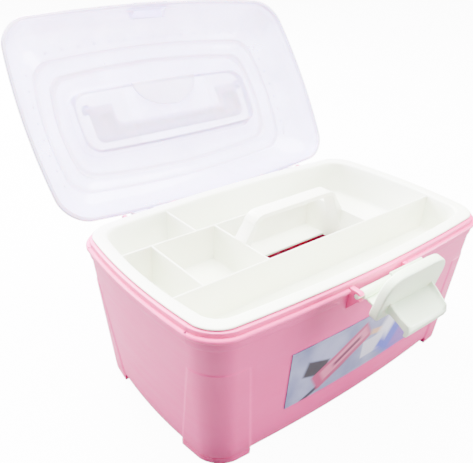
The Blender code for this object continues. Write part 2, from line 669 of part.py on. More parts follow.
def make_lid_handle(parts, cutters, material):
    """The fold-down handle: a grip between two broad arms, each with a pivot stub."""
    half, thick = HANDLE_SPAN / 2, HANDLE_THICK / 2
    arm = half - HANDLE_ARM_WIDTH
    front, back = HANDLE_PIVOT_Y, HANDLE_PIVOT_Y + HANDLE_REACH
    round_out = arc_points(half - 10 * MM, back - 10 * MM, 10 * MM, 0, 90, 5)
    inner_y = back - HANDLE_GRIP_WIDTH
    round_in = arc_points(arm - 8 * MM, inner_y - 8 * MM, 8 * MM, 90, 0, 4)
    right = [(arm, front), (half, front)] + round_out
    left = [(-x, y) for x, y in reversed(right)]
    under = [(-x, y) for x, y in reversed(round_in)]
    points = right + left + under + round_in
    low, high = HANDLE_PIVOT_Z - thick, HANDLE_PIVOT_Z + thick
    handle = prism("lid_handle", points, low, high, "Z", parts, material)
    stub_end = half + HANDLE_SIDE_GAP + HANDLE_EAR
    for side, sign in (("left", -1), ("right", 1)):
        for name, radius, inner, outer in (
            ("barrel", thick, arm, half), ("stub", HANDLE_PIVOT_RADIUS, half - 4 * MM, stub_end),
        ):
            ends = sorted((sign * inner, sign * outer))
            turned = rod(f"handle_{name}_{side}", radius, *ends, HANDLE_PIVOT_Y, HANDLE_PIVOT_Z, cutters)
            combine(handle, (turned,), "UNION")
    return handle


def latch_plate(half, low, high, corner):
    """Outline of the latch plate: square below, round above."""
    right = arc_points(half - corner, high - corner, corner, 0, 90, 7)
    left = [(-x, z) for x, z in reversed(right)]
    return [(half, low)] + right + left + [(-half, low)]


def from_latch_pin(points):
    """Side-view points (Y, Z) measured from the latch's pin, moved to where the pin is."""
    return [(LATCH_Y + y, LATCH_AXIS_HEIGHT + z) for y, z in points]


def tab_profile(rise=0.0):
    """Side view of the finger tab, from the pin; rise lifts its upper face."""
    face = -(LATCH_BACK + LATCH_DEPTH)
    tip = face - TAB_REACH
    level, low = TAB_LEVEL, TAB_LEVEL - TAB_DROP
    return [
        (face + 1 * MM, level + 2 * MM + rise), (face - 4 * MM, level + rise), (tip + 3 * MM, low + 2 * MM + rise),
        (tip, low - 1 * MM), (tip + 1.5 * MM, low - TAB_LIP), (tip + 1.5 * MM + TAB_THICK, low - TAB_LIP),
        (tip + 1 * MM + TAB_THICK, low - TAB_THICK), (face - 4 * MM, level - TAB_THICK - 1 * MM),
        (face + 1 * MM, level - 6 * MM),
    ]


def make_latch(parts, cutters, material):
    """The latch: a dished plate with a hook, a finger tab and a pivot barrel, modelled with its plate upright."""
    half = LATCH_WIDTH / 2
    back, face = LATCH_Y - LATCH_BACK, LATCH_Y - LATCH_BACK - LATCH_DEPTH
    low, high = LATCH_AXIS_HEIGHT - LATCH_BELOW, LATCH_AXIS_HEIGHT + LATCH_ABOVE
    latch = prism("latch", latch_plate(half, low, high, LATCH_CORNER), face, back, "Y", parts, material)
    inside = latch_plate(half - LATCH_WALL, low + LATCH_WALL, high - LATCH_WALL, LATCH_CORNER - LATCH_WALL)
    pocket = prism("latch_pocket", inside, face + LATCH_WALL, back + 1 * MM, "Y", cutters)
    combine(latch, (pocket,), "DIFFERENCE")

    web_side = from_latch_pin([
        (0, -LATCH_BARREL_RADIUS), (0, LATCH_WALL - LATCH_BARREL_RADIUS),
        (-LATCH_BACK - 1 * MM, LATCH_WALL - LATCH_BELOW), (-LATCH_BACK - 1 * MM, -LATCH_BELOW),
    ])
    web = prism("latch_web", web_side, -WEB_WIDTH / 2, WEB_WIDTH / 2, "X", cutters)
    hook_low = STRIKE_TOP - LATCH_AXIS_HEIGHT + FIT_GAP
    hook_high = hook_low + HOOK_THICK
    hook_back = -11 * MM
    shut = [(HOOK_TIP, hook_low), (HOOK_TIP, hook_high), (hook_back, hook_high), (hook_back, hook_low)]
    upright = [
        (y * cos(LATCH_SHUT_TILT) - z * sin(LATCH_SHUT_TILT), y * sin(LATCH_SHUT_TILT) + z * cos(LATCH_SHUT_TILT))
        for y, z in shut
    ]
    hook = prism("latch_hook", from_latch_pin(upright), -HOOK_WIDTH / 2, HOOK_WIDTH / 2, "X", cutters)
    tab = prism("latch_tab", from_latch_pin(tab_profile()), -TAB_WIDTH / 2, TAB_WIDTH / 2, "X", cutters)
    barrel_half = LATCH_BARREL_LENGTH / 2
    barrel = rod("latch_barrel", LATCH_BARREL_RADIUS, -barrel_half, barrel_half, LATCH_Y, LATCH_AXIS_HEIGHT, cutters)
    pin_half = barrel_half + FIT_GAP * 2 + LATCH_LUG
    pin = rod("latch_pin", LATCH_PIN_RADIUS, -pin_half, pin_half, LATCH_Y, LATCH_AXIS_HEIGHT, cutters)
    rims = []
    for side, sign in (("left", -1), ("right", 1)):
        ends = sorted((sign * TAB_WIDTH / 2, sign * (TAB_WIDTH / 2 - LATCH_WALL)))
        rims.append(prism("tab_rim_" + side, from_latch_pin(tab_profile(TAB_RIM)), *ends, "X", cutters))
    combine(latch, (web, hook, tab, *rims, barrel, pin), "UNION")
    return latch


def make_label(parts, cutters, material):
    """The label stuck to the tub's front, which follows its bow and draft."""
    low, high = LABEL_LOW, LABEL_HIGH
    outside, inside = FIT_GAP + LABEL_THICK, FIT_GAP
    label = loft("front_label", (
        (wall_outline(low, proud=outside), low),
        (wall_outline(high, proud=outside), high),
    ), parts, material)
    half = LABEL_WIDTH / 2
    window = box("label_window", (-half, -PLAN_WIDTH, low - 1 * MM), (half, -WALL_HALF_WIDTH / 2, high + 1 * MM), cutters)
    backing = loft("label_backing", (
        (wall_outline(low - 2 * MM, proud=inside), low - 2 * MM),
        (wall_outline(high + 2 * MM, proud=inside), high + 2 * MM),
    ), cutters)
    combine(label, (window,), "INTERSECT")
    combine(label, (backing,), "DIFFERENCE")
    return label


def swung(y, z, angle):
    """Where a point of the closed lid goes when the lid opens by an angle."""
    run, rise = y - HINGE_Y, z - HINGE_HEIGHT
    return HINGE_Y + run * cos(angle) + rise * sin(angle)


def middle_of_floor_area():
    """Y halfway between the tip of the latch's tab and the back of the open lid."""
    backs = [
        swung(-(HALF_WIDTH - inset + SIDE_BOW), LID_SEAT + rise, LID_OPEN) for inset, rise in lid_profile()
    ]
    fronts = [y * cos(LATCH_REST_TILT) - z * sin(LATCH_REST_TILT) for y, z in tab_profile(TAB_RIM)]
    return (LATCH_Y + min(fronts) + max(backs)) / 2


def hang(obj, pivot, angle, frame, collection):
    """Puts a piece, modelled in place, on an axis along X through the pivot and turns it there."""
    axis = bpy.data.objects.new(obj.name + "_axis", None)
    collection.objects.link(axis)
    axis.parent = frame
    axis.location = pivot
    obj.parent = axis
    obj.data.transform(Matrix.Translation(-Vector(pivot)))
    for child in obj.children_recursive:
        if child.type == "MESH":
            child.data.transform(Matrix.Translation(-Vector(pivot)))
    axis.rotation_euler = (angle, 0, 0)
    return axis


def main():
    clear_scene()
    parts = new_collection("hobby_box")
    cutters = new_collection("cutters", hidden=True)
    pink = finish_of("pink_polypropylene", (0.80, 0.07, 0.22), 0.4)
    white = finish_of("white_polypropylene", (0.83, 0.86, 0.80), 0.45)
    clear = finish_of("clear_polypropylene", (0.86, 0.84, 0.90), 0.2, alpha=0.35)
    cream = finish_of("cream_polypropylene", (0.85, 0.83, 0.74), 0.45)
    mint = finish_of("pale_green_polypropylene", (0.72, 0.83, 0.70), 0.4)
    paper = finish_of("printed_film", (0.55, 0.50, 0.75), 0.35)

    frame = bpy.data.objects.new("box_frame", None)
    parts.objects.link(frame)
    frame.location = (0, -middle_of_floor_area(), 0)

    tub = make_tub(parts, cutters, pink)
    label = make_label(parts, cutters, paper)
    tray = make_tray(parts, cutters, white)
    for obj in (tub, label, tray):
        obj.parent = frame
    lid = make_lid(parts, cutters, clear)
    lid_axis = hang(lid, (0, HINGE_Y, HINGE_HEIGHT), -LID_OPEN, frame, parts)
    handle = make_lid_handle(parts, cutters, cream)
    pivot = Vector((0, HANDLE_PIVOT_Y - HINGE_Y, HANDLE_PIVOT_Z - HINGE_HEIGHT))
    handle.data.transform(Matrix.Translation((0, -HINGE_Y, -HINGE_HEIGHT)))
    for child in handle.children:
        child.data.transform(Matrix.Translation((0, -HINGE_Y, -HINGE_HEIGHT)))
    hang(handle, pivot, 0, lid_axis, parts)
    latch = make_latch(parts, cutters, mint)
    hang(latch, (0, LATCH_Y, LATCH_AXIS_HEIGHT), LATCH_REST_TILT, frame, parts)


if __name__ == "__main__":
    main()
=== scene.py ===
"""A plastic sewing box, open on a pale table: a pink tub, a white lift-out tray, a clear domed lid with a folding
carry handle, and a pale green latch.

Sizes are in millimetres, in the box's own frame: X to the right, Y towards the hinge, Z up, with the middle of the
tub at the origin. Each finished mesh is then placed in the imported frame, in metres.
"""

import json
import logging
import math
from collections.abc import Callable, Sequence
from dataclasses import dataclass, field, replace
from enum import Enum

import bmesh
import bpy
import numpy as np
from mathutils import Matrix, Vector


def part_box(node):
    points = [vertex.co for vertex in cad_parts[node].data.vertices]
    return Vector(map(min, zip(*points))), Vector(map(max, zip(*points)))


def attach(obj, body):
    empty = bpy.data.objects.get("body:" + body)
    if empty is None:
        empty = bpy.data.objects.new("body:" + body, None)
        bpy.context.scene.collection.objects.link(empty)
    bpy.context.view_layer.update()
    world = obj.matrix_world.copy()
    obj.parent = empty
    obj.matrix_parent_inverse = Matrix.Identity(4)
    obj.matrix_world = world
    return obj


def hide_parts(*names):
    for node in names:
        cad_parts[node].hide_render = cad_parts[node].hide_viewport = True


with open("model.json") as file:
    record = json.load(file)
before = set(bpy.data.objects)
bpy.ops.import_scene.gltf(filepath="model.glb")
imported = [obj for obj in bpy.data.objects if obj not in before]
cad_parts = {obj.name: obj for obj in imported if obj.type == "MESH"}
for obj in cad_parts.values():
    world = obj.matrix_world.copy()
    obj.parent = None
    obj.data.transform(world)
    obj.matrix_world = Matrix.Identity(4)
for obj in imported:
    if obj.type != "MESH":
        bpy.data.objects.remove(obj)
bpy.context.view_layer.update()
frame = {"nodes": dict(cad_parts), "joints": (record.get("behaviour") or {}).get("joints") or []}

LOG = logging.getLogger("sewing_box")
MM = 0.001
# How near two points of a raw solid, or of a finished piece, are one, in millimetres.
DOUBLES = 0.003
FINISHED_DOUBLES = 1e-4
Flat = tuple[float, float]
Socket = bpy.types.NodeSocket


# ---------------------------------------------------------------------------------------------------- places


def joint_of(name: str) -> dict:
    """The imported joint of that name.

    Args:
        name: The joint's name in the record.

    Returns:
        The joint as the record gives it.
    """
    return next(joint for joint in frame["joints"] if joint["name"] == name)


def box_centre_y() -> float:
    """Y of the tub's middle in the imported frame, in metres: the tray is centred on it."""
    low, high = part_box("tray")
    return (low.y + high.y) / 2


TO_FRAME = Matrix.Translation((0, box_centre_y(), 0)) @ Matrix.Scale(MM, 4)
FROM_FRAME = TO_FRAME.inverted()


def pivot_of(name: str) -> Vector:
    """A point on a joint's axis, in the box's own millimetres."""
    return FROM_FRAME @ Vector(joint_of(name)["pos_m"])


def swing(pivot: Vector, degrees: float) -> Matrix:
    """A turn about the line along X through a point.

    Args:
        pivot: A point on the line.
        degrees: The turn, by the right-hand rule about +X.

    Returns:
        The matrix of the turn.
    """
    turn = Matrix.Rotation(math.radians(degrees), 4, "X")
    return Matrix.Translation(pivot) @ turn @ Matrix.Translation(-pivot)


# --------------------------------------------------------------------------------------------- mesh building


@dataclass(frozen=True)
class Outline:
    """A rectangle seen from above, with round corners and sides that bow outwards."""

    half_length: float
    half_width: float
    corner: float
    bow: float = 8.0
    corner_steps: int = 12
    side_steps: int = 14

    def inset(self, amount: float, corner: float | None = None) -> "Outline":
        """The outline moved inwards.

        Args:
            amount: How far each side moves.
            corner: The corner radius, or None to keep it.

        Returns:
            The smaller outline.
        """
        return replace(
            self,
            half_length=self.half_length - amount,
            half_width=self.half_width - amount,
            corner=self.corner if corner is None else corner,
        )

    def points(self, long_marks: Sequence[float] = (), short_marks: Sequence[float] = ()) -> np.ndarray:
        """The outline's points, anticlockwise from the right-hand side.

        Args:
            long_marks: Distances from a corner, past its arc, where the long sides must have a point.
            short_marks: The same for the short sides.

        Returns:
            Rows of x, y and the distance to the nearest corner, which is 0 on a corner's arc.
        """
        rows = []
        corners = ((1, 1), (-1, 1), (-1, -1), (1, -1))
        for turn, (sign_x, sign_y) in enumerate(corners):
            centre = np.array((sign_x * (self.half_length - self.corner), sign_y * (self.half_width - self.corner)))
            for step in range(self.corner_steps + 1):
                angle = math.radians(90 * (turn + step / self.corner_steps))
                place = centre + self.corner * np.array((math.cos(angle), math.sin(angle)))
                rows.append((*place, 0.0))
            along_x = turn % 2 == 0
            whole = 2 * (self.half_length if along_x else self.half_width)
            marks = list(long_marks if along_x else short_marks)
            first = marks[-1] if marks else self.corner
            middle = np.linspace(first, whole - first, self.side_steps + 1)[1:-1]
            start = np.array((sign_x * self.half_length, sign_y * self.half_width))
            ahead = np.array(((-1, 0), (0, -1), (1, 0), (0, 1))[turn])
            for run in [*marks, *middle, *[whole - mark for mark in reversed(marks)]]:
                rows.append((*(start + ahead * run), min(run, whole - run)))
        flat = np.array(rows)
        x, y = flat[:, 0].copy(), flat[:, 1].copy()
        flat[:, 0] += np.sign(x) * self.bow * (1 - (y / self.half_width) ** 2) * abs(x) / self.half_length
        flat[:, 1] += np.sign(y) * self.bow * (1 - (x / self.half_length) ** 2) * abs(y) / self.half_width
        return flat

    def ring(self, height: float, long_marks: Sequence[float] = (), short_marks: Sequence[float] = ()) -> np.ndarray:
        """The outline as a ring of points at one height."""
        flat = self.points(long_marks, short_marks)
        return np.column_stack((flat[:, :2], np.full(len(flat), height)))

    def edge_y(self, x: float) -> float:
        """How far the outline's long side is from the middle at x."""
        return self.half_width + self.bow * (1 - (x / self.half_length) ** 2)


def arc(centre: Flat, radius: float, start: float, end: float, steps: int) -> list[Flat]:
    """Points of an arc.

    Args:
        centre: The arc's centre.
        radius: Its radius.
        start: The first angle, in degrees.
        end: The last angle, in degrees.
        steps: How many parts the arc is cut into.

    Returns:
        The points, from start to end.
    """
    turns = [math.radians(start + (end - start) * step / steps) for step in range(steps + 1)]
    return [(centre[0] + radius * math.cos(turn), centre[1] + radius * math.sin(turn)) for turn in turns]


def rounded(points: Sequence[Flat], radius: float | Sequence[float], steps: int = 4) -> list[Flat]:
    """A closed outline with its corners rounded.

    Args:
        points: The outline's corners, in order.
        radius: One radius for every corner, or one for each.
        steps: How many parts each round corner is cut into.

    Returns:
        The rounded outline's points.
    """
    count = len(points)
    radii = [radius] * count if isinstance(radius, (int, float)) else list(radius)
    result: list[Flat] = []
    for index, (here, size) in enumerate(zip(points, radii)):
        corner = Vector(here)
        back = Vector(points[index - 1]) - corner
        ahead = Vector(points[(index + 1) % count]) - corner
        half = back.angle(ahead) / 2
        reach = size / math.tan(half) if half > 1e-3 else 0.0
        reach = min(reach, back.length * 0.49, ahead.length * 0.49)
        if size <= 0 or abs(half - math.pi / 2) < 0.02:
            result.append(here)
            continue
        first, last = corner + back.normalized() * reach, corner + ahead.normalized() * reach
        for step in range(steps + 1):
            share = step / steps
            middle = first.lerp(corner, share).lerp(corner.lerp(last, share), share)
            result.append((middle.x, middle.y))
    return result


def new_object(name: str, bm: bmesh.types.BMesh) -> bpy.types.Object:
    """An object of the bmesh, with its doubles merged and its faces turned outwards."""
    bmesh.ops.remove_doubles(bm, verts=bm.verts, dist=DOUBLES)
    bmesh.ops.dissolve_degenerate(bm, edges=bm.edges, dist=DOUBLES)
    bmesh.ops.recalc_face_normals(bm, faces=bm.faces)
    mesh = bpy.data.meshes.new(name)
    bm.to_mesh(mesh)
    bm.free()
    obj = bpy.data.objects.new(name, mesh)
    bpy.context.scene.collection.objects.link(obj)
    return obj


def loft(name: str, rings: Sequence[np.ndarray], looped: bool = False) -> bpy.types.Object:
    """A body through rings of equally many points.

    Args:
        name: The object's name.
        rings: The rings, in order along the body.
        looped: True if the last ring joins the first, so that there are no end caps.

    Returns:
        The object, closed.
    """
    bm = bmesh.new()
    rows = [[bm.verts.new(point) for point in ring] for ring in rings]
    count = len(rows[0])
    for low, high in zip(rows, rows[1:] + rows[:1] if looped else rows[1:]):
        for i in range(count):
            j = (i + 1) % count
            bm.faces.new((low[i], low[j], high[j], high[i]))
    if not looped:
        bm.faces.new(list(reversed(rows[0])))
        bm.faces.new(rows[-1])
    return new_object(name, bm)


def prism(
    name: str, points: Sequence[Flat], start: float, end: float, axis: str, edge: float = 0.0, steps: int = 2
) -> bpy.types.Object:
    """A flat outline pushed along an axis, with its two rims rounded.

    Args:
        name: The object's name.
        points: The outline, in the other two axes' order.
        start: Where the push starts.
        end: Where it ends.
        axis: X, Y or Z.
        edge: The radius of the rims, or 0 to leave them sharp.
        steps: How many parts each round rim is cut into.

    Returns:
        The object.
    """
    slot = "XYZ".index(axis)
    low, high = min(start, end), max(start, end)
    bm = bmesh.new()

    def placed(point: Sequence[float], along: float) -> Vector:
        values = list(point)
        values.insert(slot, along)
        return Vector(values)

    face = bm.faces.new([bm.verts.new(placed(point, low)) for point in points])
    pushed = bmesh.ops.extrude_face_region(bm, geom=[face])["geom"]
    moved = [item for item in pushed if isinstance(item, bmesh.types.BMVert)]
    bmesh.ops.translate(bm, vec=placed((0, 0), high - low), verts=moved)
    if edge > 0:
        rims = [e for e in bm.edges if abs(e.verts[0].co[slot] - e.verts[1].co[slot]) < 1e-6]
        bmesh.ops.bevel(
            bm, geom=rims, offset=edge, offset_type="OFFSET", segments=steps, profile=0.5, affect="EDGES",
            clamp_overlap=True,
        )
    return new_object(name, bm)


def slab(name: str, low: Sequence[float], high: Sequence[float], edge: float = 0.0) -> bpy.types.Object:
    """A box between two corners, with every edge rounded by a radius."""
    bm = bmesh.new()
    bmesh.ops.create_cube(bm, size=1.0)
    low_v, high_v = Vector(low), Vector(high)
    bmesh.ops.scale(bm, vec=high_v - low_v, verts=bm.verts)
    bmesh.ops.translate(bm, vec=(low_v + high_v) / 2, verts=bm.verts)
    if edge > 0:
        bmesh.ops.bevel(bm, geom=bm.edges, offset=edge, segments=3, profile=0.5, affect="EDGES", clamp_overlap=True)
    return new_object(name, bm)


def rod(name: str, radius: float, low_x: float, high_x: float, centre: Flat, edge: float = 0.0) -> bpy.types.Object:
    """A round bar along X, with its end rims rounded by a radius; centre is its (Y, Z)."""
    return prism(name, arc(centre, radius, 0, 345, 23), low_x, high_x, "X", edge)


class Join(Enum):
    """How one solid acts on another."""

    UNION = "UNION"
    CUT = "DIFFERENCE"
    SHARED = "INTERSECT"


def plain_mesh(obj: bpy.types.Object) -> bpy.types.Object:
    """Turns what an object's modifiers make into its plain mesh, and removes the modifiers."""
    bpy.context.view_layer.update()
    graph = bpy.context.evaluated_depsgraph_get()
    made = bpy.data.meshes.new_from_object(obj.evaluated_get(graph))
    old = obj.data
    obj.modifiers.clear()
    obj.data = made
    made.name = obj.name
    bpy.data.meshes.remove(old)
    return obj


def triangulate(obj: bpy.types.Object) -> None:
    """Cuts an object's faces into triangles, because a bent face makes a Boolean fail."""
    bm = bmesh.new()
    bm.from_mesh(obj.data)
    bmesh.ops.triangulate(bm, faces=bm.faces)
    bm.to_mesh(obj.data)
    bm.free()


def combine(
    target: bpy.types.Object, tools: Sequence[bpy.types.Object], how: Join, keep: bool = False
) -> bpy.types.Object:
    """Joins tools to a solid, or cuts it with them.

    Args:
        target: The solid that is kept.
        tools: The solids that act on it.
        how: What they do.
        keep: True to leave the tools in the scene.

    Returns:
        The target, with a plain mesh.
    """
    for solid in (target, *tools):
        triangulate(solid)
    for tool in tools:
        modifier = target.modifiers.new(tool.name, "BOOLEAN")
        modifier.operation = how.value
        modifier.object = tool
        modifier.solver = "EXACT"
    plain_mesh(target)
    if not keep:
        for tool in tools:
            bpy.data.objects.remove(tool)
    return target


def merged(name: str, parts: Sequence[bpy.types.Object]) -> bpy.types.Object:
    """One object of several separate solids."""
    bm = bmesh.new()
    for part in parts:
        bm.from_mesh(part.data)
        bpy.data.objects.remove(part)
    return new_object(name, bm)


def smooth_curve(points: Sequence[Flat], steps: int) -> list[Flat]:
    """A smooth line through points.

    Args:
        points: The points that the line passes.
        steps: How many parts each stretch is cut into.

    Returns:
        The line's points, the given ones among them.
    """
    ends = [points[0], *points, points[-1]]
    line: list[Flat] = []
    for before, start, end, after in zip(ends, ends[1:], ends[2:], ends[3:]):
        p, q, r, s = (np.array(point) for point in (before, start, end, after))
        for step in range(steps):
            t = step / steps
            spot = 0.5 * (2 * q + (r - p) * t + (2 * p - 5 * q + 4 * r - s) * t**2 + (3 * q - p - 3 * r + s) * t**3)
            line.append((float(spot[0]), float(spot[1])))
    return [*line, points[-1]]


def offset_line(line: Sequence[Flat], amount: float) -> list[Flat]:
    """A line moved sideways, to the left of its direction.

    Args:
        line: The line's points.
        amount: How far it moves.

    Returns:
        The moved points, one for each.
    """
    spots = np.array(line)
    ahead = np.gradient(spots, axis=0)
    ahead /= np.linalg.norm(ahead, axis=1)[:, None]
    left = np.column_stack((-ahead[:, 1], ahead[:, 0]))
    return [tuple(spot) for spot in spots + left * amount]


class CopyTree:
    """A Geometry Nodes tree that sets copies of a small solid along a bent line."""

    NAME = "copies_along_line"

    def __init__(self) -> None:
        """Builds the tree."""
        self.tree = bpy.data.node_groups.new(self.NAME, "GeometryNodeTree")
        face = self.tree.interface
        face.new_socket("Geometry", in_out="INPUT", socket_type="NodeSocketGeometry")
        self.inputs = {
            name: face.new_socket(name, in_out="INPUT", socket_type=kind).identifier
            for name, kind in (
                ("Start", "NodeSocketVector"), ("Middle", "NodeSocketVector"), ("End", "NodeSocketVector"),
                ("Count", "NodeSocketInt"), ("Template", "NodeSocketObject"), ("Finish", "NodeSocketMaterial"),
            )
        }
        face.new_socket("Geometry", in_out="OUTPUT", socket_type="NodeSocketGeometry")
        given = add(self.tree, "NodeGroupInput")
        line = add(
            self.tree, "GeometryNodeCurveQuadraticBezier", {"Resolution": 48},
            {"Start": given.outputs["Start"], "Middle": given.outputs["Middle"], "End": given.outputs["End"]},
        )
        spots = add(
            self.tree, "GeometryNodeResampleCurve", {},
            {"Curve": line.outputs[0], "Count": given.outputs["Count"]},
        )
        copy = add(self.tree, "GeometryNodeObjectInfo", {}, {"Object": given.outputs["Template"]})
        placed = add(
            self.tree, "GeometryNodeInstanceOnPoints", {},
            {"Points": spots.outputs[0], "Instance": copy.outputs["Geometry"]},
        )
        real = add(self.tree, "GeometryNodeRealizeInstances", {}, {"Geometry": placed.outputs[0]})
        dressed = add(
            self.tree, "GeometryNodeSetMaterial", {},
            {"Geometry": real.outputs[0], "Material": given.outputs["Finish"]},
        )
        add(self.tree, "NodeGroupOutput", {}, {"Geometry": dressed.outputs[0]})

    def run(
        self, name: str, template: bpy.types.Object, line: Sequence[Sequence[float]], count: int,
        finish: bpy.types.Material,
    ) -> bpy.types.Object:
        """Sets the copies and returns them as one plain mesh.

        Args:
            name: The new object's name.
            template: The solid to copy, about its own origin; it is removed afterwards.
            line: The line's start, control point and end.
            count: How many copies there are.
            finish: Their material.

        Returns:
            The copies.
        """
        obj = bpy.data.objects.new(name, bpy.data.meshes.new(name))
        modifier = obj.modifiers.new("copies", "NODES")
        modifier.node_group = self.tree
        start, middle, end = line
        values = {
            "Start": start, "Middle": middle, "End": end, "Count": count, "Template": template, "Finish": finish,
        }
        for key, value in values.items():
            modifier[self.inputs[key]] = value
        bpy.context.scene.collection.objects.link(obj)
        plain_mesh(obj)
        bpy.data.objects.remove(template)
        return obj


# ------------------------------------------------------------------------------------------------- materials


def linear(code: str) -> tuple[float, float, float, float]:
    """An sRGB hex colour as linear red, green, blue and alpha."""
    parts = [int(code[i : i + 2], 16) / 255 for i in (1, 3, 5)]
    red, green, blue = (c / 12.92 if c <= 0.04045 else ((c + 0.055) / 1.055) ** 2.4 for c in parts)
    return red, green, blue, 1.0


def add(
    tree: bpy.types.NodeTree, kind: str, settings: dict[str, object] | None = None,
    links: dict[str | int, Socket] | None = None,
) -> bpy.types.Node:
    """Adds a node with its settings and links.

    Args:
        tree: The tree it goes in.
        kind: Blender's name for the kind of node.
        settings: Values by the name of a property of the node or, failing that, of an input.
        links: What feeds each input, by the input's name or number.

    Returns:
        The node.
    """
    node = tree.nodes.new(kind)
    for name, value in (settings or {}).items():
        if hasattr(node, name):
            setattr(node, name, value)
        else:
            key = int(name[1:]) if name.startswith("#") else name
            node.inputs[key].default_value = value
    for name, source in (links or {}).items():
        tree.links.new(source, node.inputs[name])
    return node


class Plastic:
    """What the moulded finishes share: a node tree with its texture coordinates and its output."""

    def __init__(self, name: str) -> None:
        """Starts an empty material.

        Args:
            name: The material's name.
        """
        self.material = bpy.data.materials.new(name)
        self.material.use_nodes = True
        self.tree = self.material.node_tree
        self.tree.nodes.clear()
        self.place = add(self.tree, "ShaderNodeTexCoord").outputs["Object"]

    def noise(self, size_mm: float, detail: float = 2.0, stretch: Sequence[float] = (1, 1, 1)) -> Socket:
        """A noise whose features are about a size across, in millimetres."""
        near = add(self.tree, "ShaderNodeMapping", {"Scale": stretch}, {"Vector": self.place})
        made = add(
            self.tree, "ShaderNodeTexNoise", {"Scale": 1 / (size_mm * MM), "Detail": detail, "Roughness": 0.55},
            {"Vector": near.outputs[0]},
        )
        return made.outputs["Fac"]

    def between(self, share: Socket, low: float, high: float, out_low: float, out_high: float) -> Socket:
        """Maps a value from one range to another."""
        settings = {"From Min": low, "From Max": high, "To Min": out_low, "To Max": out_high}
        return add(self.tree, "ShaderNodeMapRange", settings, {"Value": share}).outputs["Result"]

    def mix(self, share: Socket, first: object, second: object) -> Socket:
        """A colour between two, each a colour value or a socket."""
        settings: dict[str, object] = {"data_type": "RGBA"}
        links: dict[str | int, Socket] = {0: share}
        for number, value in ((6, first), (7, second)):
            if isinstance(value, bpy.types.NodeSocket):
                links[number] = value
            else:
                settings[f"#{number}"] = value
        return add(self.tree, "ShaderNodeMix", settings, links).outputs[2]

    def close(self, shader: Socket) -> bpy.types.Material:
        """Joins a shader to the output and returns the material."""
        add(self.tree, "ShaderNodeOutputMaterial", {}, {"Surface": shader})
        return self.material


@dataclass(frozen=True)
class MouldedPolypropylene:
    """Injection-moulded polypropylene: waxy, slightly see-into, with a satin skin from a spark-eroded mould.

    The pigment drifts a little along the flow of the melt, and handling leaves faint rubbed streaks in the sheen.
    """

    name: str
    colour: str
    deep: str
    roughness: float = 0.38
    glow: float = 0.12
    glow_mm: float = 4.0
    # The real texture is about 0.1 mm across; it is drawn at 0.9 mm, because anything finer can't be seen.
    grain_mm: float = 0.9
    grain_depth_mm: float = 0.012
    ior: float = 1.49

    def build(self) -> bpy.types.Material:
        """Makes the material."""
        skin = Plastic(self.name)
        drift = skin.between(skin.noise(55, 3.0), 0.3, 0.7, 0.0, 1.0)
        streak = skin.noise(6, 2.0, (0.12, 0.12, 1.0))
        colour = skin.mix(drift, linear(self.colour), linear(self.deep))
        grain = skin.noise(self.grain_mm, 1.0)
        rough = skin.between(streak, 0.3, 0.75, self.roughness - 0.05, self.roughness + 0.07)
        bump = add(
            skin.tree, "ShaderNodeBump", {"Strength": 1.0, "Distance": self.grain_depth_mm * MM}, {"Height": grain},
        )
        shader = add(
            skin.tree, "ShaderNodeBsdfPrincipled",
            {
                "IOR": self.ior, "Subsurface Weight": self.glow, "Subsurface Scale": self.glow_mm * MM,
                "Subsurface Radius": (1.0, 0.6, 0.6), "Coat Weight": 0.06, "Coat Roughness": 0.2,
            },
            {"Base Color": colour, "Roughness": rough, "Normal": bump.outputs[0]},
        )
        return skin.close(shader.outputs[0])


@dataclass(frozen=True)
class ClearPolypropylene:
    """Clarified polypropylene: see-through with a faint milky haze and a lilac cast, glossy on both sides.

    Long soft waves from the flow of the melt bend what is seen through it.
    """

    name: str
    colour: str
    haze: str
    roughness: float = 0.09
    haze_share: float = 0.2
    # Painted highlight: the sharp creases and beads are made milky white, standing in for the glints and bright lines
    # that light makes there.
    crease_painted_highlight: float = 0.5
    light_passed: float = 0.9
    wave_mm: float = 26.0
    wave_depth_mm: float = 0.25
    ior: float = 1.49

    def build(self) -> bpy.types.Material:
        """Makes the material."""
        skin = Plastic(self.name)
        wave = skin.noise(self.wave_mm, 2.0, (0.35, 1.0, 1.0))
        rough = skin.between(skin.noise(3.5, 2.0), 0.3, 0.8, self.roughness - 0.03, self.roughness + 0.05)
        bump = add(
            skin.tree, "ShaderNodeBump", {"Strength": 0.6, "Distance": self.wave_depth_mm * MM}, {"Height": wave},
        )
        clear = add(
            skin.tree, "ShaderNodeBsdfPrincipled",
            {"Base Color": linear(self.colour), "IOR": self.ior, "Transmission Weight": 1.0},
            {"Roughness": rough, "Normal": bump.outputs[0]},
        )
        milky = add(
            skin.tree, "ShaderNodeBsdfPrincipled",
            {
                "Base Color": linear(self.haze), "IOR": self.ior, "Roughness": 0.3, "Subsurface Weight": 0.5,
                "Subsurface Scale": 6 * MM,
            },
        )
        fog = skin.between(skin.noise(40, 3.0), 0.3, 0.75, self.haze_share * 0.7, self.haze_share * 1.3)
        # Painted highlight: where the surface bends sharply, at creases and beads, the shader is mixed towards milky
        # white.
        bend = add(skin.tree, "ShaderNodeNewGeometry").outputs["Pointiness"]
        crease = skin.between(bend, 0.51, 0.56, 0.0, self.crease_painted_highlight)
        share = add(skin.tree, "ShaderNodeMath", {"operation": "ADD"}, {0: fog, 1: crease}).outputs[0]
        both = add(skin.tree, "ShaderNodeMixShader", {}, {0: share, 1: clear.outputs[0], 2: milky.outputs[0]})
        ray = add(skin.tree, "ShaderNodeLightPath")
        let_by = add(skin.tree, "ShaderNodeBsdfTransparent", {"Color": linear(self.haze)})
        lit = skin.between(ray.outputs["Is Shadow Ray"], 0, 1, 0, self.light_passed)
        whole = add(skin.tree, "ShaderNodeMixShader", {}, {0: lit, 1: both.outputs[0], 2: let_by.outputs[0]})
        return skin.close(whole.outputs[0])


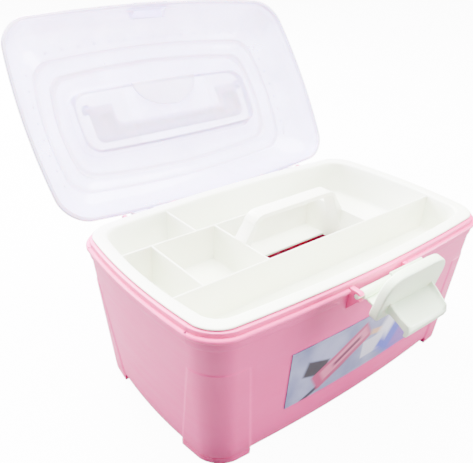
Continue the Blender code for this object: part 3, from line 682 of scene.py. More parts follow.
@dataclass(frozen=True)
class PrintedFilm:
    """Glossy printed film: a plain abstract print of soft coloured shapes and a painted highlight streak, with the fine
    dots of offset printing.
    """

    name: str
    ground: str
    pale: str
    centre: tuple[float, float]
    half: tuple[float, float]

    def patch(self, skin: Plastic, centre: Flat, half: Flat, turn: float, soft: float) -> Socket:
        """The mask of a turned rectangle with soft edges, in shares of the label's half sizes."""
        size_x, size_z = self.half
        spot = (self.centre[0] + centre[0] * size_x, 0, self.centre[1] + centre[1] * size_z)
        near = add(
            skin.tree, "ShaderNodeMapping",
            {
                "vector_type": "TEXTURE", "Location": spot, "Rotation": (0, math.radians(turn), 0),
                "Scale": (half[0] * size_x, 1.0, half[1] * size_z),
            },
            {"Vector": skin.place},
        )
        parts = add(skin.tree, "ShaderNodeSeparateXYZ", {}, {"Vector": near.outputs[0]})
        sizes = [
            add(skin.tree, "ShaderNodeMath", {"operation": "ABSOLUTE"}, {0: parts.outputs[axis]}).outputs[0]
            for axis in (0, 2)
        ]
        far = add(skin.tree, "ShaderNodeMath", {"operation": "MAXIMUM"}, {0: sizes[0], 1: sizes[1]})
        return skin.between(far.outputs[0], 1 + soft, 1 - soft, 0.0, 1.0)

    def build(self) -> bpy.types.Material:
        """Makes the material."""
        skin = Plastic(self.name)
        colour = skin.mix(skin.between(skin.noise(30, 2.0), 0.35, 0.65, 0, 1), linear(self.ground), linear(self.pale))
        shapes = (
            # The middle and half size, in shares of the label's own, then the turn, the soft edge and the colour.
            ((-0.66, 0.02), (0.15, 0.26), 18, 0.14, "#2a2530"),
            ((-0.62, -0.80), (0.40, 0.07), -24, 0.2, "#2c3040"),
            ((-0.30, -0.05), (0.40, 0.34), -28, 0.05, "#b03a6e"),
            ((-0.27, 0.02), (0.33, 0.20), -28, 0.08, "#d77098"),
            ((-0.24, 0.05), (0.20, 0.07), -28, 0.15, "#6a2248"),
            ((0.22, 0.20), (0.12, 0.10), 12, 0.25, "#d9a884"),
            ((0.16, -0.30), (0.16, 0.32), 0, 0.06, "#cfcde0"),
            ((0.62, 0.10), (0.20, 1.2), 34, 0.12, "#4c54c4"),
            ((0.84, -0.10), (0.16, 1.2), 34, 0.2, "#8458b4"),
            # A painted highlight, not print: a soft, near-white diagonal streak across the label.
            ((0.40, 0.30), (0.10, 0.5), 34, 0.4, "#e2e2f2"),
        )
        for centre, half, turn, soft, code in shapes:
            colour = skin.mix(self.patch(skin, centre, half, turn, soft), colour, linear(code))
        dots = add(skin.tree, "ShaderNodeTexVoronoi", {"Scale": 1 / (0.8 * MM)}, {"Vector": skin.place})
        grain = skin.between(dots.outputs["Distance"], 0.0, 1.0, 0.92, 1.0)
        tone = add(skin.tree, "ShaderNodeCombineColor", {}, {0: grain, 1: grain, 2: grain})
        printed = add(
            skin.tree, "ShaderNodeMix", {"data_type": "RGBA", "blend_type": "MULTIPLY", "#0": 1.0},
            {6: colour, 7: tone.outputs[0]},
        )
        ripple = add(
            skin.tree, "ShaderNodeBump", {"Strength": 0.5, "Distance": 0.05 * MM}, {"Height": skin.noise(14, 2.0)},
        )
        shader = add(
            skin.tree, "ShaderNodeBsdfPrincipled",
            {"IOR": 1.5, "Roughness": 0.28, "Coat Weight": 0.4, "Coat Roughness": 0.12},
            {"Base Color": printed.outputs[2], "Normal": ripple.outputs[0]},
        )
        return skin.close(shader.outputs[0])


# ---------------------------------------------------------------------------------------------------- pieces


def place_piece(
    obj: bpy.types.Object, matrix: Matrix, material: bpy.types.Material, body: str, node: str,
    crease: float = 34.0,
) -> bpy.types.Object:
    """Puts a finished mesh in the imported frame, dresses it and rides it on its body.

    Args:
        obj: The piece, in the box's millimetres.
        matrix: Where it goes in that frame.
        material: Its material.
        body: The body that it moves with.
        node: The CAD node that it stands for.
        crease: The angle past which an edge is drawn sharp, in degrees.

    Returns:
        The piece.
    """
    bm = bmesh.new()
    bm.from_mesh(obj.data)
    bmesh.ops.remove_doubles(bm, verts=bm.verts, dist=FINISHED_DOUBLES)
    bmesh.ops.dissolve_degenerate(bm, edges=bm.edges, dist=FINISHED_DOUBLES)
    bm.to_mesh(obj.data)
    bm.free()
    obj.data.transform(TO_FRAME @ matrix)
    obj.data.materials.clear()
    obj.data.materials.append(material)
    obj.data.shade_smooth()
    obj.data.set_sharp_from_angle(angle=math.radians(crease))
    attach(obj, body)
    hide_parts(node)
    LOG.info("%s: %d faces, on %s", obj.name, len(obj.data.polygons), body)
    return obj


@dataclass
class Tub:
    """The pink tub: drafted walls with corner columns that end in feet, a banded rim, hinge bars and latch lugs."""

    finish: MouldedPolypropylene
    rim: Outline = Outline(165, 98, 23)
    wall: float = 2.2
    height: float = 140
    foot: float = 6
    bead_foot: float = 132
    bead_top: float = 136
    bead_reach: float = 3
    draft: Flat = (12.5, 9.5)
    base_corner: float = 19
    lip_inset: float = 3.2
    lip_width: float = 5
    lip_corner: float = 24.5
    band_low: float = 125
    band_proud: float = 0.7
    band_gap: float = 44
    latch_gap: float = 36
    column_top: float = 100
    column_proud: float = 1.2
    column_front: float = 32
    column_sides: Flat = (38, 24)
    column_edge: float = 1.6
    bar_radius: float = 2.2
    bar_ends: Flat = (58, 113)
    lug: float = 3.5
    lug_radius: float = 4.2
    latch_lug: float = 5
    latch_lug_radius: float = 4.6
    latch_lug_inner: float = 29.8
    latch_bore: float = 2.55
    hinge: Vector = field(default_factory=lambda: pivot_of("lid_hinge"))
    latch: Vector = field(default_factory=lambda: pivot_of("latch_pivot"))

    def wall_at(self, height: float, inset: float = 0.0) -> Outline:
        """The wall's outline at a height, moved inwards."""
        share = (self.bead_foot - height) / (self.bead_foot - self.foot)
        corner = self.rim.corner + (self.base_corner - self.rim.corner) * share - inset * 0.6
        return replace(
            self.rim,
            half_length=self.rim.half_length - self.bead_reach - self.draft[0] * share - inset,
            half_width=self.rim.half_width - self.bead_reach - self.draft[1] * share - inset,
            corner=max(corner, 4.0),
        )

    def marks(self, height: float, side: int) -> list[float]:
        """Distances from a corner where the columns' edges need points, on the long sides (0) or the short (1)."""
        share = min(max(height / self.column_top, 0.0), 1.0)
        foot, top = (self.column_front, self.column_front) if side == 0 else self.column_sides
        edge = foot + (top - foot) * share
        return [edge - 1.0, edge, edge + self.column_edge / 2, edge + self.column_edge, edge + self.column_edge + 1.5]

    def ring(self, height: float, inset: float = 0.0, proud: float = 0.0) -> np.ndarray:
        """A ring of the wall, with the columns standing proud of it."""
        marks = self.marks(height, 0), self.marks(height, 1)
        base, out = self.wall_at(height, inset), self.wall_at(height, inset - proud)
        flat, far = base.points(*marks), out.points(*marks)
        share = np.zeros(len(flat))
        count = base.corner_steps + 1
        step = 0
        for side in (0, 1, 0, 1):
            edge = marks[side][1]
            share[step : step + count] = 1.0
            step += count
            number = 2 * len(marks[side]) + base.side_steps - 1
            run = (flat[step : step + number, 2] - edge) / self.column_edge
            fall = np.clip(1 - run, 0, 1)
            share[step : step + number] = fall * fall * (3 - 2 * fall)
            step += number
        flat[:, :2] += (far[:, :2] - flat[:, :2]) * share[:, None]
        return np.column_stack((flat[:, :2], np.full(len(flat), height)))

    def proud_at(self, height: float) -> float:
        """How far the columns stand out of the wall at a height."""
        rise = height / self.column_top
        return self.column_proud + (0.55 - self.column_proud) * rise if rise <= 1 else 0.0

    def shell(self) -> bpy.types.Object:
        """The wall, rim and floor as one closed shell."""
        rings = []
        for turn in (0, 30, 60, 90):
            angle = math.radians(turn)
            height = self.foot + 2.5 * (1 - math.cos(angle))
            rings.append(self.ring(height, 2.5 * (1 - math.sin(angle)), self.proud_at(height)))
        for height in (20, 40, 60, 80, 96, 99, self.column_top):
            rings.append(self.ring(height, 0, self.proud_at(height)))
        rings.append(self.ring(self.column_top + 0.35, 0, 0.4))
        rings.append(self.ring(self.column_top + 0.7, 0, 0.1))
        for height in (self.column_top + 1, 104, 115, self.bead_foot):
            rings.append(self.ring(height))
        marks = self.marks(self.height, 0), self.marks(self.height, 1)

        def lip(inset: float, height: float, corner: float) -> np.ndarray:
            return self.rim.inset(self.lip_inset + inset, corner).ring(height, *marks)

        edge = 0.9
        rings.append(lip(0, self.bead_top, self.lip_corner))
        rings.append(lip(0, self.height - edge, self.lip_corner))
        rings += [
            lip(edge * (1 - math.cos(a)), self.height - edge * (1 - math.sin(a)), self.lip_corner)
            for a in (0.52, 1.05, 1.57)
        ]
        inner = self.lip_corner - self.lip_width
        rings += [
            lip(self.lip_width - edge * (1 - math.sin(a)), self.height - edge * (1 - math.cos(a)), inner)
            for a in (0, 0.52, 1.05, 1.57)
        ]
        rings.append(lip(self.lip_width, self.height - self.wall, inner))
        rings.append(lip(self.wall, self.height - self.wall, self.lip_corner - self.wall))
        for height in (self.bead_foot, 110, 80, 50, 20):
            rings.append(self.ring(height, self.wall))
        floor, fillet = self.foot + self.wall, 5.0
        rings += [
            self.ring(floor + fillet * (1 - math.sin(a)), self.wall + fillet * (1 - math.cos(a)))
            for a in (0, 0.4, 0.8, 1.2, 1.57)
        ]
        return loft("tub", rings)

    def ridge(
        self, name: str, low: float, high: float, reach: Callable[[float], float], gap: float
    ) -> bpy.types.Object:
        """A ridge round the wall with round edges, open at the latch and at the hinges.

        Args:
            name: The ridge's name.
            low: Its lower edge.
            high: Its upper edge.
            reach: How far out of the plan outline's inset it stands, from a share of its height.
            gap: Half the width of the opening at the latch.

        Returns:
            The ridge.
        """
        marks = self.marks(self.height, 0), self.marks(self.height, 1)
        rings = []
        for share in (0.0, 0.0, 0.12, 0.3, 0.7, 0.88, 1.0, 1.0):
            height = low + (high - low) * share
            sunk = len(rings) in (0, 7)
            inset = self.bead_reach + 1.2 if sunk else reach(share)
            rings.append(self.rim.inset(inset, self.rim.corner + self.bead_reach - inset * 0.8).ring(height, *marks))
        ridge = loft(name, rings, looped=True)
        far = self.rim.half_width * 2
        cuts = [slab("gap_latch", (-gap, -far, low - 3), (gap, 0, high + 3))]
        for sign in (-1, 1):
            ends = sorted((sign * self.bar_ends[0], sign * self.bar_ends[1]))
            cuts.append(slab(f"gap_hinge_{sign}", (ends[0], 0, low - 3), (ends[1], far, high + 3)))
        return combine(ridge, cuts, Join.CUT)

    def feet(self) -> list[bpy.types.Object]:
        """The four feet under the columns, each with a rounded sole."""
        made = []
        top = self.ring(self.foot + 1.5, 0, self.proud_at(self.foot))
        sole = self.ring(0, 1.1, self.column_proud)
        hem = self.ring(1.2, 0.1, self.column_proud)
        base = self.wall_at(self.foot)
        for sign_x in (-1, 1):
            for sign_y in (-1, 1):
                edge_x = (base.half_length - self.column_front) * sign_x
                edge_y = (base.half_width - self.column_sides[0]) * sign_y
                rings = []
                for ring, shrink in ((sole, 0.9), (hem, 0.1), (top, 0.0)):
                    line = [p for p in ring if p[0] * sign_x >= abs(edge_x) and p[1] * sign_y >= abs(edge_y)]
                    line.sort(key=lambda p: math.atan2((p[1] - edge_y) * sign_y, (p[0] - edge_x) * sign_x))
                    first = (line[0][0], edge_y + shrink * sign_y, line[0][2])
                    last = (edge_x + shrink * sign_x, line[-1][1], line[0][2])
                    corner = (edge_x + shrink * sign_x, edge_y + shrink * sign_y, line[0][2])
                    rings.append(np.array([first, *line, last, corner]))
                least = min(len(ring) for ring in rings)
                even = [ring[: least - 2].tolist() + ring[-2:].tolist() for ring in rings]
                made.append(loft(f"foot_{sign_x}_{sign_y}", even))
        return made

    def hinge_bars(self) -> list[bpy.types.Object]:
        """The bars and lugs at the back that the lid's clips snap over."""
        made = []
        y, z = self.hinge.y, self.hinge.z
        for sign in (-1, 1):
            ends = sorted((sign * self.bar_ends[0], sign * self.bar_ends[1]))
            made.append(rod(f"bar_{sign}", self.bar_radius, ends[0], ends[1], (y, z)))
            for end in ends:
                root = self.rim.edge_y(end) - self.bead_reach - self.wall / 2
                points = [*arc((y, z), self.lug_radius, 80, -70, 10), (root, z - 13), (root, self.bead_top)]
                made.append(prism(f"lug_{end:.0f}", points, end - self.lug / 2, end + self.lug / 2, "X", 0.5))
        return made

    def latch_lugs(self) -> tuple[list[bpy.types.Object], list[bpy.types.Object]]:
        """The slotted lugs for the latch's pin, and what is cut out of them."""
        lugs, cuts = [], []
        y, z = self.latch.y, self.latch.z
        for sign in (-1, 1):
            low, high = sorted((sign * self.latch_lug_inner, sign * (self.latch_lug_inner + self.latch_lug)))
            root = -self.wall_at(z).edge_y(self.latch_lug_inner) + self.wall / 2
            points = [
                *arc((y, z), self.latch_lug_radius, 90, 250, 12), (root, z - 16), (root, z + self.latch_lug_radius),
            ]
            lugs.append(prism(f"latch_lug_{sign}", points, low, high, "X", 0.6))
            cuts.append(rod(f"latch_bore_{sign}", self.latch_bore, low - 1, high + 1, (y, z)))
            mouth = self.latch_bore * 0.8
            cuts.append(slab(f"latch_mouth_{sign}", (low - 1, y - 8, z - mouth), (high + 1, y, z + mouth)))
        return lugs, cuts

    def build(self) -> bpy.types.Object:
        """Makes the tub."""
        shell = self.shell()
        bead = self.ridge(
            "bead", self.bead_foot, self.bead_top, lambda s: 0.15 + 1.1 * (2 * abs(s - 0.5)) ** 3, self.latch_gap
        )
        band_inset = self.bead_reach - self.band_proud
        band = self.ridge(
            "band", self.band_low, self.bead_foot + 0.4, lambda s: band_inset + 0.5 * (2 * abs(s - 0.5)) ** 4,
            self.band_gap,
        )
        lugs, cuts = self.latch_lugs()
        combine(shell, self.feet(), Join.UNION)
        for number, lug in enumerate(lugs):
            combine(lug, cuts[number * 2 : number * 2 + 2], Join.CUT)
        tub = merged("tub", [shell, bead, band, *self.hinge_bars(), *lugs])
        return place_piece(tub, Matrix.Identity(4), self.finish.build(), "tub", "tub")


@dataclass
class Tray:
    """The white lift-out tray: a broad flange, drafted pockets, low dividers, and an arched grip over a slot."""

    finish: MouldedPolypropylene
    rim: Outline = Outline(159, 92, 19)
    seat: float = 140.3
    top: float = 142.3
    depth: float = 38
    wall: float = 1.8
    flange: float = 11
    draft: float = 3
    skirt_inset: float = 3
    skirt: float = 3.2
    base_corner: float = 12
    divider_drop: float = 2
    row_y: float = 38
    bay_x: float = 60
    slot: float = 12
    left_cross_x: float = 126
    back_cross_x: float = 80
    grip_top: float = 163
    grip_half: float = 52
    grip_width: float = 15
    grip_thick: float = 4
    grip_corner: float = 13

    def ring(self, inset: float, corner: float, height: float) -> np.ndarray:
        """One ring of the tray, measured inwards from its flange's edge."""
        return self.rim.inset(inset, corner).ring(height)

    def shell(self) -> bpy.types.Object:
        """The flange, wall and floor as one closed shell with round edges."""
        floor = self.top - self.depth
        root = self.flange - self.wall
        rings = [
            self.ring(root + self.draft + 2.5 * (1 - math.sin(a)), self.base_corner, floor + 2.5 * (1 - math.cos(a)))
            for a in (0, 0.52, 1.05, 1.57)
        ]
        rings.append(self.ring(root, 15, self.seat))
        outer, inner = self.skirt_inset, self.skirt_inset + self.wall
        rings.append(self.ring(inner, 17, self.seat))
        rings.append(self.ring(inner, 17, self.seat - self.skirt + 0.5))
        rings.append(self.ring(inner - 0.5, 17.2, self.seat - self.skirt))
        rings.append(self.ring(outer + 0.5, 17.8, self.seat - self.skirt))
        rings.append(self.ring(outer, 18, self.seat - self.skirt + 0.5))
        rings.append(self.ring(outer, 18, self.seat))
        half = (self.top - self.seat) / 2
        rings += [
            self.ring(half * (1 - math.cos(a)), 19, self.seat + half * (1 + math.sin(a)))
            for a in (-1.4, -0.8, -0.2, 0.4, 1.0, 1.57)
        ]
        rings.append(self.ring(4.5, 16.5, self.top - 0.1))
        round_in = 2.6
        lean = self.draft / self.depth
        for a in (0, 0.35, 0.7, 1.05, 1.4):
            inset = self.flange - round_in + round_in * math.sin(a)
            rings.append(self.ring(inset, 14.5 - inset * 0.05, self.top - 0.1 - round_in * (1 - math.cos(a))))
        fillet = 4.0
        for height in (self.top - 8, self.top - 18, self.top - 28):
            rings.append(self.ring(self.flange + lean * (self.top - height), 13, height))
        rings += [
            self.ring(
                self.flange + self.draft * 0.95 + fillet * (1 - math.cos(a)), 12,
                floor + self.wall + fillet * (1 - math.sin(a)),
            )
            for a in (0, 0.4, 0.8, 1.2, 1.57)
        ]
        return loft("tray", rings)

    def divider(self, name: str, start: Flat, end: Flat) -> bpy.types.Object:
        """A low wall with a rounded top, a little draft and a filleted foot, between two points on the floor."""
        floor = self.top - self.depth + self.wall
        high = self.top - self.divider_drop
        half = self.wall / 2
        foot = 1.6
        flare = [
            (half + 0.5 + foot * (1 - math.sin(a)), floor - 0.2 + foot * (1 - math.cos(a))) for a in (0, 0.5, 1.0, 1.5)
        ]
        right = [(half + 0.5 + foot, floor - self.wall / 2), *flare, *arc((0, high - half), half, 0, 90, 4)]
        points = right + [(-x, z) for x, z in reversed(right[:-1])]
        along_x = start[1] == end[1]
        middle = start[1] if along_x else start[0]
        flat = [(x + middle, z) for x, z in points]
        low, far = (start[0], end[0]) if along_x else (start[1], end[1])
        return prism(name, flat, low, far, "X" if along_x else "Y")

    def grip(self) -> bpy.types.Object:
        """The arched grip that grows out of the bay's end walls, crowned on top."""
        rise, floor = self.grip_top - self.grip_corner, self.top - self.depth
        foot = floor + self.depth / 3
        spread = self.bay_x + self.wall / 2
        inner = self.grip_corner - self.grip_thick
        centre = (self.grip_half - self.grip_corner, rise)
        outside = arc(centre, self.grip_corner, 15, 90, 10)
        inside = arc(centre, inner, 90, 15, 10)
        right = [(spread, foot), (spread, self.top - self.divider_drop), *outside]
        left = [(-x, z) for x, z in reversed(right)]
        under = [*inside, (spread - self.grip_thick, foot + 12), (spread - self.wall / 2, foot)]
        under_left = [(-x, z) for x, z in reversed(under)]
        width = self.grip_width / 2
        return prism("grip", right + left + under_left + under, -width, width, "Y", 1.3, 3)

    def build(self) -> bpy.types.Object:
        """Makes the tray."""
        shell = self.shell()
        floor, root = self.top - self.depth, self.flange - self.wall
        core = loft("core", [
            self.ring(root + self.draft + self.wall / 2, self.base_corner, floor + self.wall / 2),
            self.ring(root + self.wall / 2, 14, self.top),
        ])
        far, row, bay = self.rim.half_length + 9, self.row_y, self.bay_x
        lines = {
            "front": ((-far, -row), (far, -row)), "back": ((-far, row), (bay + self.wall / 2, row)),
            "bay_left": ((-bay, -row), (-bay, row)), "bay_right": ((bay, -row), (bay, row)),
            "cross_left": ((-self.left_cross_x, -row), (-self.left_cross_x, row)),
            "cross_back": ((-self.back_cross_x, row), (-self.back_cross_x, far)),
        }
        walls = [self.divider(name, *ends) for name, ends in lines.items()]
        for wall in walls:
            combine(wall, [core], Join.SHARED, keep=True)
        bpy.data.objects.remove(core)
        combine(shell, walls, Join.UNION)
        half_x, half_y = bay - self.wall / 2 - 0.4, self.slot
        corners = [(half_x, half_y), (-half_x, half_y), (-half_x, -half_y), (half_x, -half_y)]
        combine(shell, [prism("slot", rounded(corners, 2.0), floor - 1, floor + 6, "Z")], Join.CUT)
        combine(shell, [self.grip()], Join.UNION)
        return place_piece(shell, Matrix.Identity(4), self.finish.build(), "tray", "tray")


@dataclass
class Lid:
    """The clear domed lid, modelled closed and then swung open: shoulders, handle recess, strike and clips."""

    finish: ClearPolypropylene
    copies: CopyTree
    rim: Outline = Outline(165, 98, 25)
    wall: float = 2.0
    seat: float = 137.4
    height: float = 45.5
    flange: float = 3.6
    crease_insets: Flat = (30, 46)
    recess: Outline = Outline(108, 32, 14, bow=2)
    recess_depth: float = 13.5
    recess_draft: float = 2
    scoop_half: float = 38
    scoop_reach: float = 26
    scoop_depth: float = 2
    strike_half: float = 21
    strike_height: float = 21
    strike_proud: float = 4.5
    clip_length: float = 14
    clip_centres: Flat = (75, 96)
    clip_bore: float = 2.55
    clip_wall: float = 1.8
    ear_inner: float = 94.6
    ear: float = 5
    ear_radius: float = 4.6
    pivot_y: float = -13
    pivot_rise: float = 4.1
    pivot_bore: float = 2.95
    bead_radius: float = 1.5
    open_degrees: float = -124
    hinge: Vector = field(default_factory=lambda: pivot_of("lid_hinge"))

    @property
    def top(self) -> float:
        """Height of the closed lid's top panel."""
        return self.seat + self.height

    @property
    def opened(self) -> Matrix:
        """The matrix that swings the closed lid to where it stands open."""
        return swing(self.hinge, self.open_degrees)

    def corner(self, inset: float) -> float:
        """Corner radius at an inset, which shrinks less than the inset does."""
        return max(self.rim.corner - 0.3 * inset, 10.0)

    def profile(self) -> list[Flat]:
        """The outer wall as (inset, rise), from the rim's flange over the shoulder to the top panel."""
        first, second = self.crease_insets
        rise = self.height
        dome = smooth_curve(
            [(1.3, self.flange + 0.8), (3.2, 12.6), (8.5, 22.6), (17.5, 32.2), (first - 2.2, rise - 7.4)], 5
        )
        shelf = [(first - 1.2, rise - 6.9), (first - 0.6, rise - 6.0), (first, rise - 5.7), (first + 1.2, rise - 5.6)]
        slope = smooth_curve([(first + 5, rise - 4.4), (second - 6, rise - 2.6), (second - 1.5, rise - 1.9)], 3)
        panel = [(second - 0.7, rise - 1.0), (second, rise - 0.6), (second + 3, rise - 0.2), (second + 6, rise)]
        return [*dome, *shelf, *slope, *panel]

    def shell(self) -> bpy.types.Object:
        """The dome with its handle recess, as one closed shell."""
        outer = self.profile()
        inner = offset_line(outer, self.wall * -1)
        floor = self.top - self.recess_depth
        down = self.recess_depth
        step = self.recess
        rings = []

        def cup(grow: float, height: float) -> None:
            rings.append(step.inset(-grow, step.corner + grow * 0.7).ring(height))

        for angle in (1.57, 1.1, 0.6, 0.2):
            cup(-self.recess_draft - 2 * (1 - math.cos(angle)), floor + 2 * (1 - math.sin(angle)))
        cup(-self.recess_draft, floor + 2.2)
        cup(-self.recess_draft * 0.5, floor + down / 2)
        for angle in (0.0, 0.5, 1.0, 1.57):
            cup(1.5 * (1 - math.cos(angle)), self.top - 1.5 * (1 - math.sin(angle)))
        rings += [self.rim.inset(i, self.corner(i)).ring(self.seat + r) for i, r in reversed(outer)]
        for inset, rise in ((0.35, self.flange + 0.5), (0, self.flange), (0, 0.6), (0.5, 0.0), (2.6, 0.0)):
            rings.append(self.rim.inset(inset, self.corner(inset)).ring(self.seat + rise))
        rings += [self.rim.inset(i, self.corner(i)).ring(self.seat + r) for i, r in inner]
        for angle in (1.57, 1.0, 0.5, 0.0):
            cup(self.wall + 1.0 * (1 - math.cos(angle)), self.top - self.wall - 1.0 * (1 - math.sin(angle)))
        cup(self.wall - self.recess_draft * 0.5, floor + down / 2)
        under = floor - self.wall
        for angle in (0.2, 0.6, 1.1, 1.57):
            cup(self.wall - self.recess_draft - 3 * (1 - math.cos(angle)), under + 3 * (1 - math.sin(angle)))
        return loft("lid", rings)

    def scoop(self, grow: float, low: float, high: float, name: str) -> bpy.types.Object:
        """The D-shaped finger scoop at the front of the recess, as a solid to add or to take away."""
        edge = -self.recess.half_width + self.recess_draft - 0.5
        half, reach = self.scoop_half + grow, self.scoop_reach + grow
        points = [
            (half * math.cos(math.radians(turn)), edge - grow + (reach + grow) * math.sin(math.radians(turn)))
            for turn in range(0, 181, 10)
        ]
        return prism(name, points, low, high, "Z", 0.7)

    def strike(self) -> tuple[bpy.types.Object, bpy.types.Object]:
        """The hollow block that the latch hooks over, and its hollow."""
        out = self.rim.half_width + self.rim.bow
        front, low, high = -out - self.strike_proud, self.seat + self.flange - 1.5, self.seat + self.strike_height
        back = -out + 4.0
        points = [
            (front + 2.5, low), (front + 2.5, high - 6), (front, high - 4), (front, high), (back + 4.4, high),
            (back, high - 10), (-out + 1.2, low),
        ]
        block = prism("strike", rounded(points, 1.6), -self.strike_half, self.strike_half, "X", 1.0)
        half, skin = self.strike_half - self.wall, front + 2.5 + self.wall
        hollow_points = [(skin, low + 4), (skin, high - self.wall), (-out + 24, high - self.wall), (-out + 19, low + 4)]
        return block, prism("strike_hollow", rounded(hollow_points, 1.5), -half, half, "X", 0.6)

    def clips(self) -> tuple[list[bpy.types.Object], list[bpy.types.Object]]:
        """The clips that hang the lid on the tub's hinge bars, and their bores."""
        clips, cuts = [], []
        y, z = self.hinge.y, self.hinge.z
        outer = self.clip_bore + self.clip_wall
        for sign in (-1, 1):
            for centre in self.clip_centres:
                low = sign * centre - self.clip_length / 2
                high = low + self.clip_length
                lid_y = self.rim.edge_y(centre)
                base = self.seat + 0.4
                points = [(lid_y - 2, self.seat + self.flange), *arc((y, z), outer, 60, -150, 18)]
                points += [(y - outer, base), (lid_y - 2, base)]
                clips.append(prism(f"clip_{sign}_{centre}", points, low, high, "X", 0.4))
                cuts.append(rod(f"clip_bore_{sign}_{centre}", self.clip_bore, low - 1, high + 1, (y, z)))
                mouth = self.clip_bore * 0.8
                cuts.append(slab(
                    f"clip_mouth_{sign}_{centre}", (low - 1, y - mouth, z - outer - 2), (high + 1, y + mouth, z),
                ))
        return clips, cuts

    def ears(self) -> tuple[list[bpy.types.Object], bpy.types.Object]:
        """The two ears in the recess that carry the handle's stubs, and their bore."""
        y, z = self.pivot_y, self.top - self.recess_depth + self.pivot_rise
        foot = self.top - self.recess_depth - self.wall / 2
        points = [*arc((y, z), self.ear_radius, 0, 180, 14), (y - self.ear_radius, foot), (y + self.ear_radius, foot)]
        ears = []
        for sign in (-1, 1):
            low, high = sorted((sign * self.ear_inner, sign * (self.ear_inner + self.ear)))
            ears.append(prism(f"ear_{sign}", points, low, high, "X", 0.5))
        far = self.ear_inner + self.ear + 1
        return ears, rod("handle_bore", self.pivot_bore, -far, far, (y, z))

    def beads(self, material: bpy.types.Material) -> list[bpy.types.Object]:
        """Rows of small domed beads that follow the shoulder just outside the crease, front and sides."""
        inset = self.crease_insets[0] - 7.0
        rise = self.height - 10.6
        line = self.rim.inset(inset, self.corner(inset))
        z = self.seat + rise
        front_x = line.half_length - 24
        side_y = line.half_width - 18
        rows = []
        runs = {
            "front": ((-front_x, -line.edge_y(front_x), z), (front_x, -line.edge_y(front_x), z), (0, -1)),
            "left": ((-line.half_length - 2.5, -side_y, z), (-line.half_length - 2.5, side_y, z), (-1, 0)),
            "right": ((line.half_length + 2.5, -side_y, z), (line.half_length + 2.5, side_y, z), (1, 0)),
        }
        for name, (start, end, out) in runs.items():
            middle = (Vector(start) + Vector(end)) / 2
            bulge = 2 * self.rim.bow * (0.75 if name == "front" else 0.6)
            control = middle + Vector((out[0] * bulge, out[1] * bulge, 0))
            count = 14 if name == "front" else 8
            rows.append(self.copies.run(f"beads_{name}", self.bead(), (start, control, end), count, material))
        return rows

    def bead(self) -> bpy.types.Object:
        """One small round bead."""
        bm = bmesh.new()
        bmesh.ops.create_uvsphere(bm, u_segments=12, v_segments=8, radius=self.bead_radius)
        return new_object("bead_template", bm)

    def build(self) -> bpy.types.Object:
        """Makes the lid."""
        material = self.finish.build()
        lid = self.shell()
        floor = self.top - self.recess_depth
        pan = self.scoop(self.wall, floor - self.wall - self.scoop_depth, floor - self.wall / 2, "pan")
        dish = self.scoop(0, floor - self.scoop_depth, floor + 2, "dish")
        block, hollow = self.strike()
        clips, bores = self.clips()
        ears, pivot = self.ears()
        combine(lid, [pan, block, *clips, *ears, *self.beads(material)], Join.UNION)
        combine(lid, [dish, hollow, *bores, pivot], Join.CUT)
        return place_piece(lid, self.opened, material, "lid", "lid")


@dataclass
class CarryHandle:
    """The folding handle in the lid's recess: a round-edged grip between two broad arms with moulded stubs."""

    finish: MouldedPolypropylene
    lid: Lid
    half_span: float = 94
    arm: float = 26
    thick: float = 7
    grip: float = 17
    reach: float = 36
    stub_radius: float = 2.6
    stub_length: float = 5.6
    pocket_depth: float = 3.2

    def build(self) -> bpy.types.Object:
        """Makes the handle."""
        front = self.lid.pivot_y
        back = front + self.reach
        z = self.lid.top - self.lid.recess_depth + self.lid.pivot_rise
        inner, arm = back - self.grip, self.half_span - self.arm
        corners = [
            (self.half_span, front), (self.half_span, back), (-self.half_span, back), (-self.half_span, front),
            (-arm, front), (-arm, inner), (arm, inner), (arm, front),
        ]
        outline = rounded(corners, (2.6, 10, 10, 2.6, 2.6, 8, 8, 2.6), 6)
        half = self.thick / 2
        under, roof = z - half - 1, z - half + self.pocket_depth
        handle = prism("lid_handle", outline, z - half, z + half, "Z", 1.8, 3)
        adds, cuts = [], []
        for sign in (-1, 1):
            ends = sorted((sign * arm, sign * self.half_span))
            adds.append(rod(f"barrel_{sign}", half, *ends, (front, z), 0.6))
            stub = sorted((sign * (self.half_span - 4), sign * (self.half_span + self.stub_length)))
            adds.append(rod(f"stub_{sign}", self.stub_radius, *stub, (front, z), 0.5))
            cell = sorted((sign * (arm + 4), sign * (self.half_span - 5)))
            cuts.append(slab(f"pocket_{sign}", (cell[0], front + 7, under), (cell[1], back - 5, roof), 0.9))
        groove = 5.0
        cuts.append(slab("grip_pocket", (-arm + 2, inner + groove, under), (arm - 2, back - groove, roof), 0.9))
        combine(handle, adds, Join.UNION)
        combine(handle, cuts, Join.CUT)
        return place_piece(
            handle, self.lid.opened, self.finish.build(), "lid_handle", "lid_handle"
        )


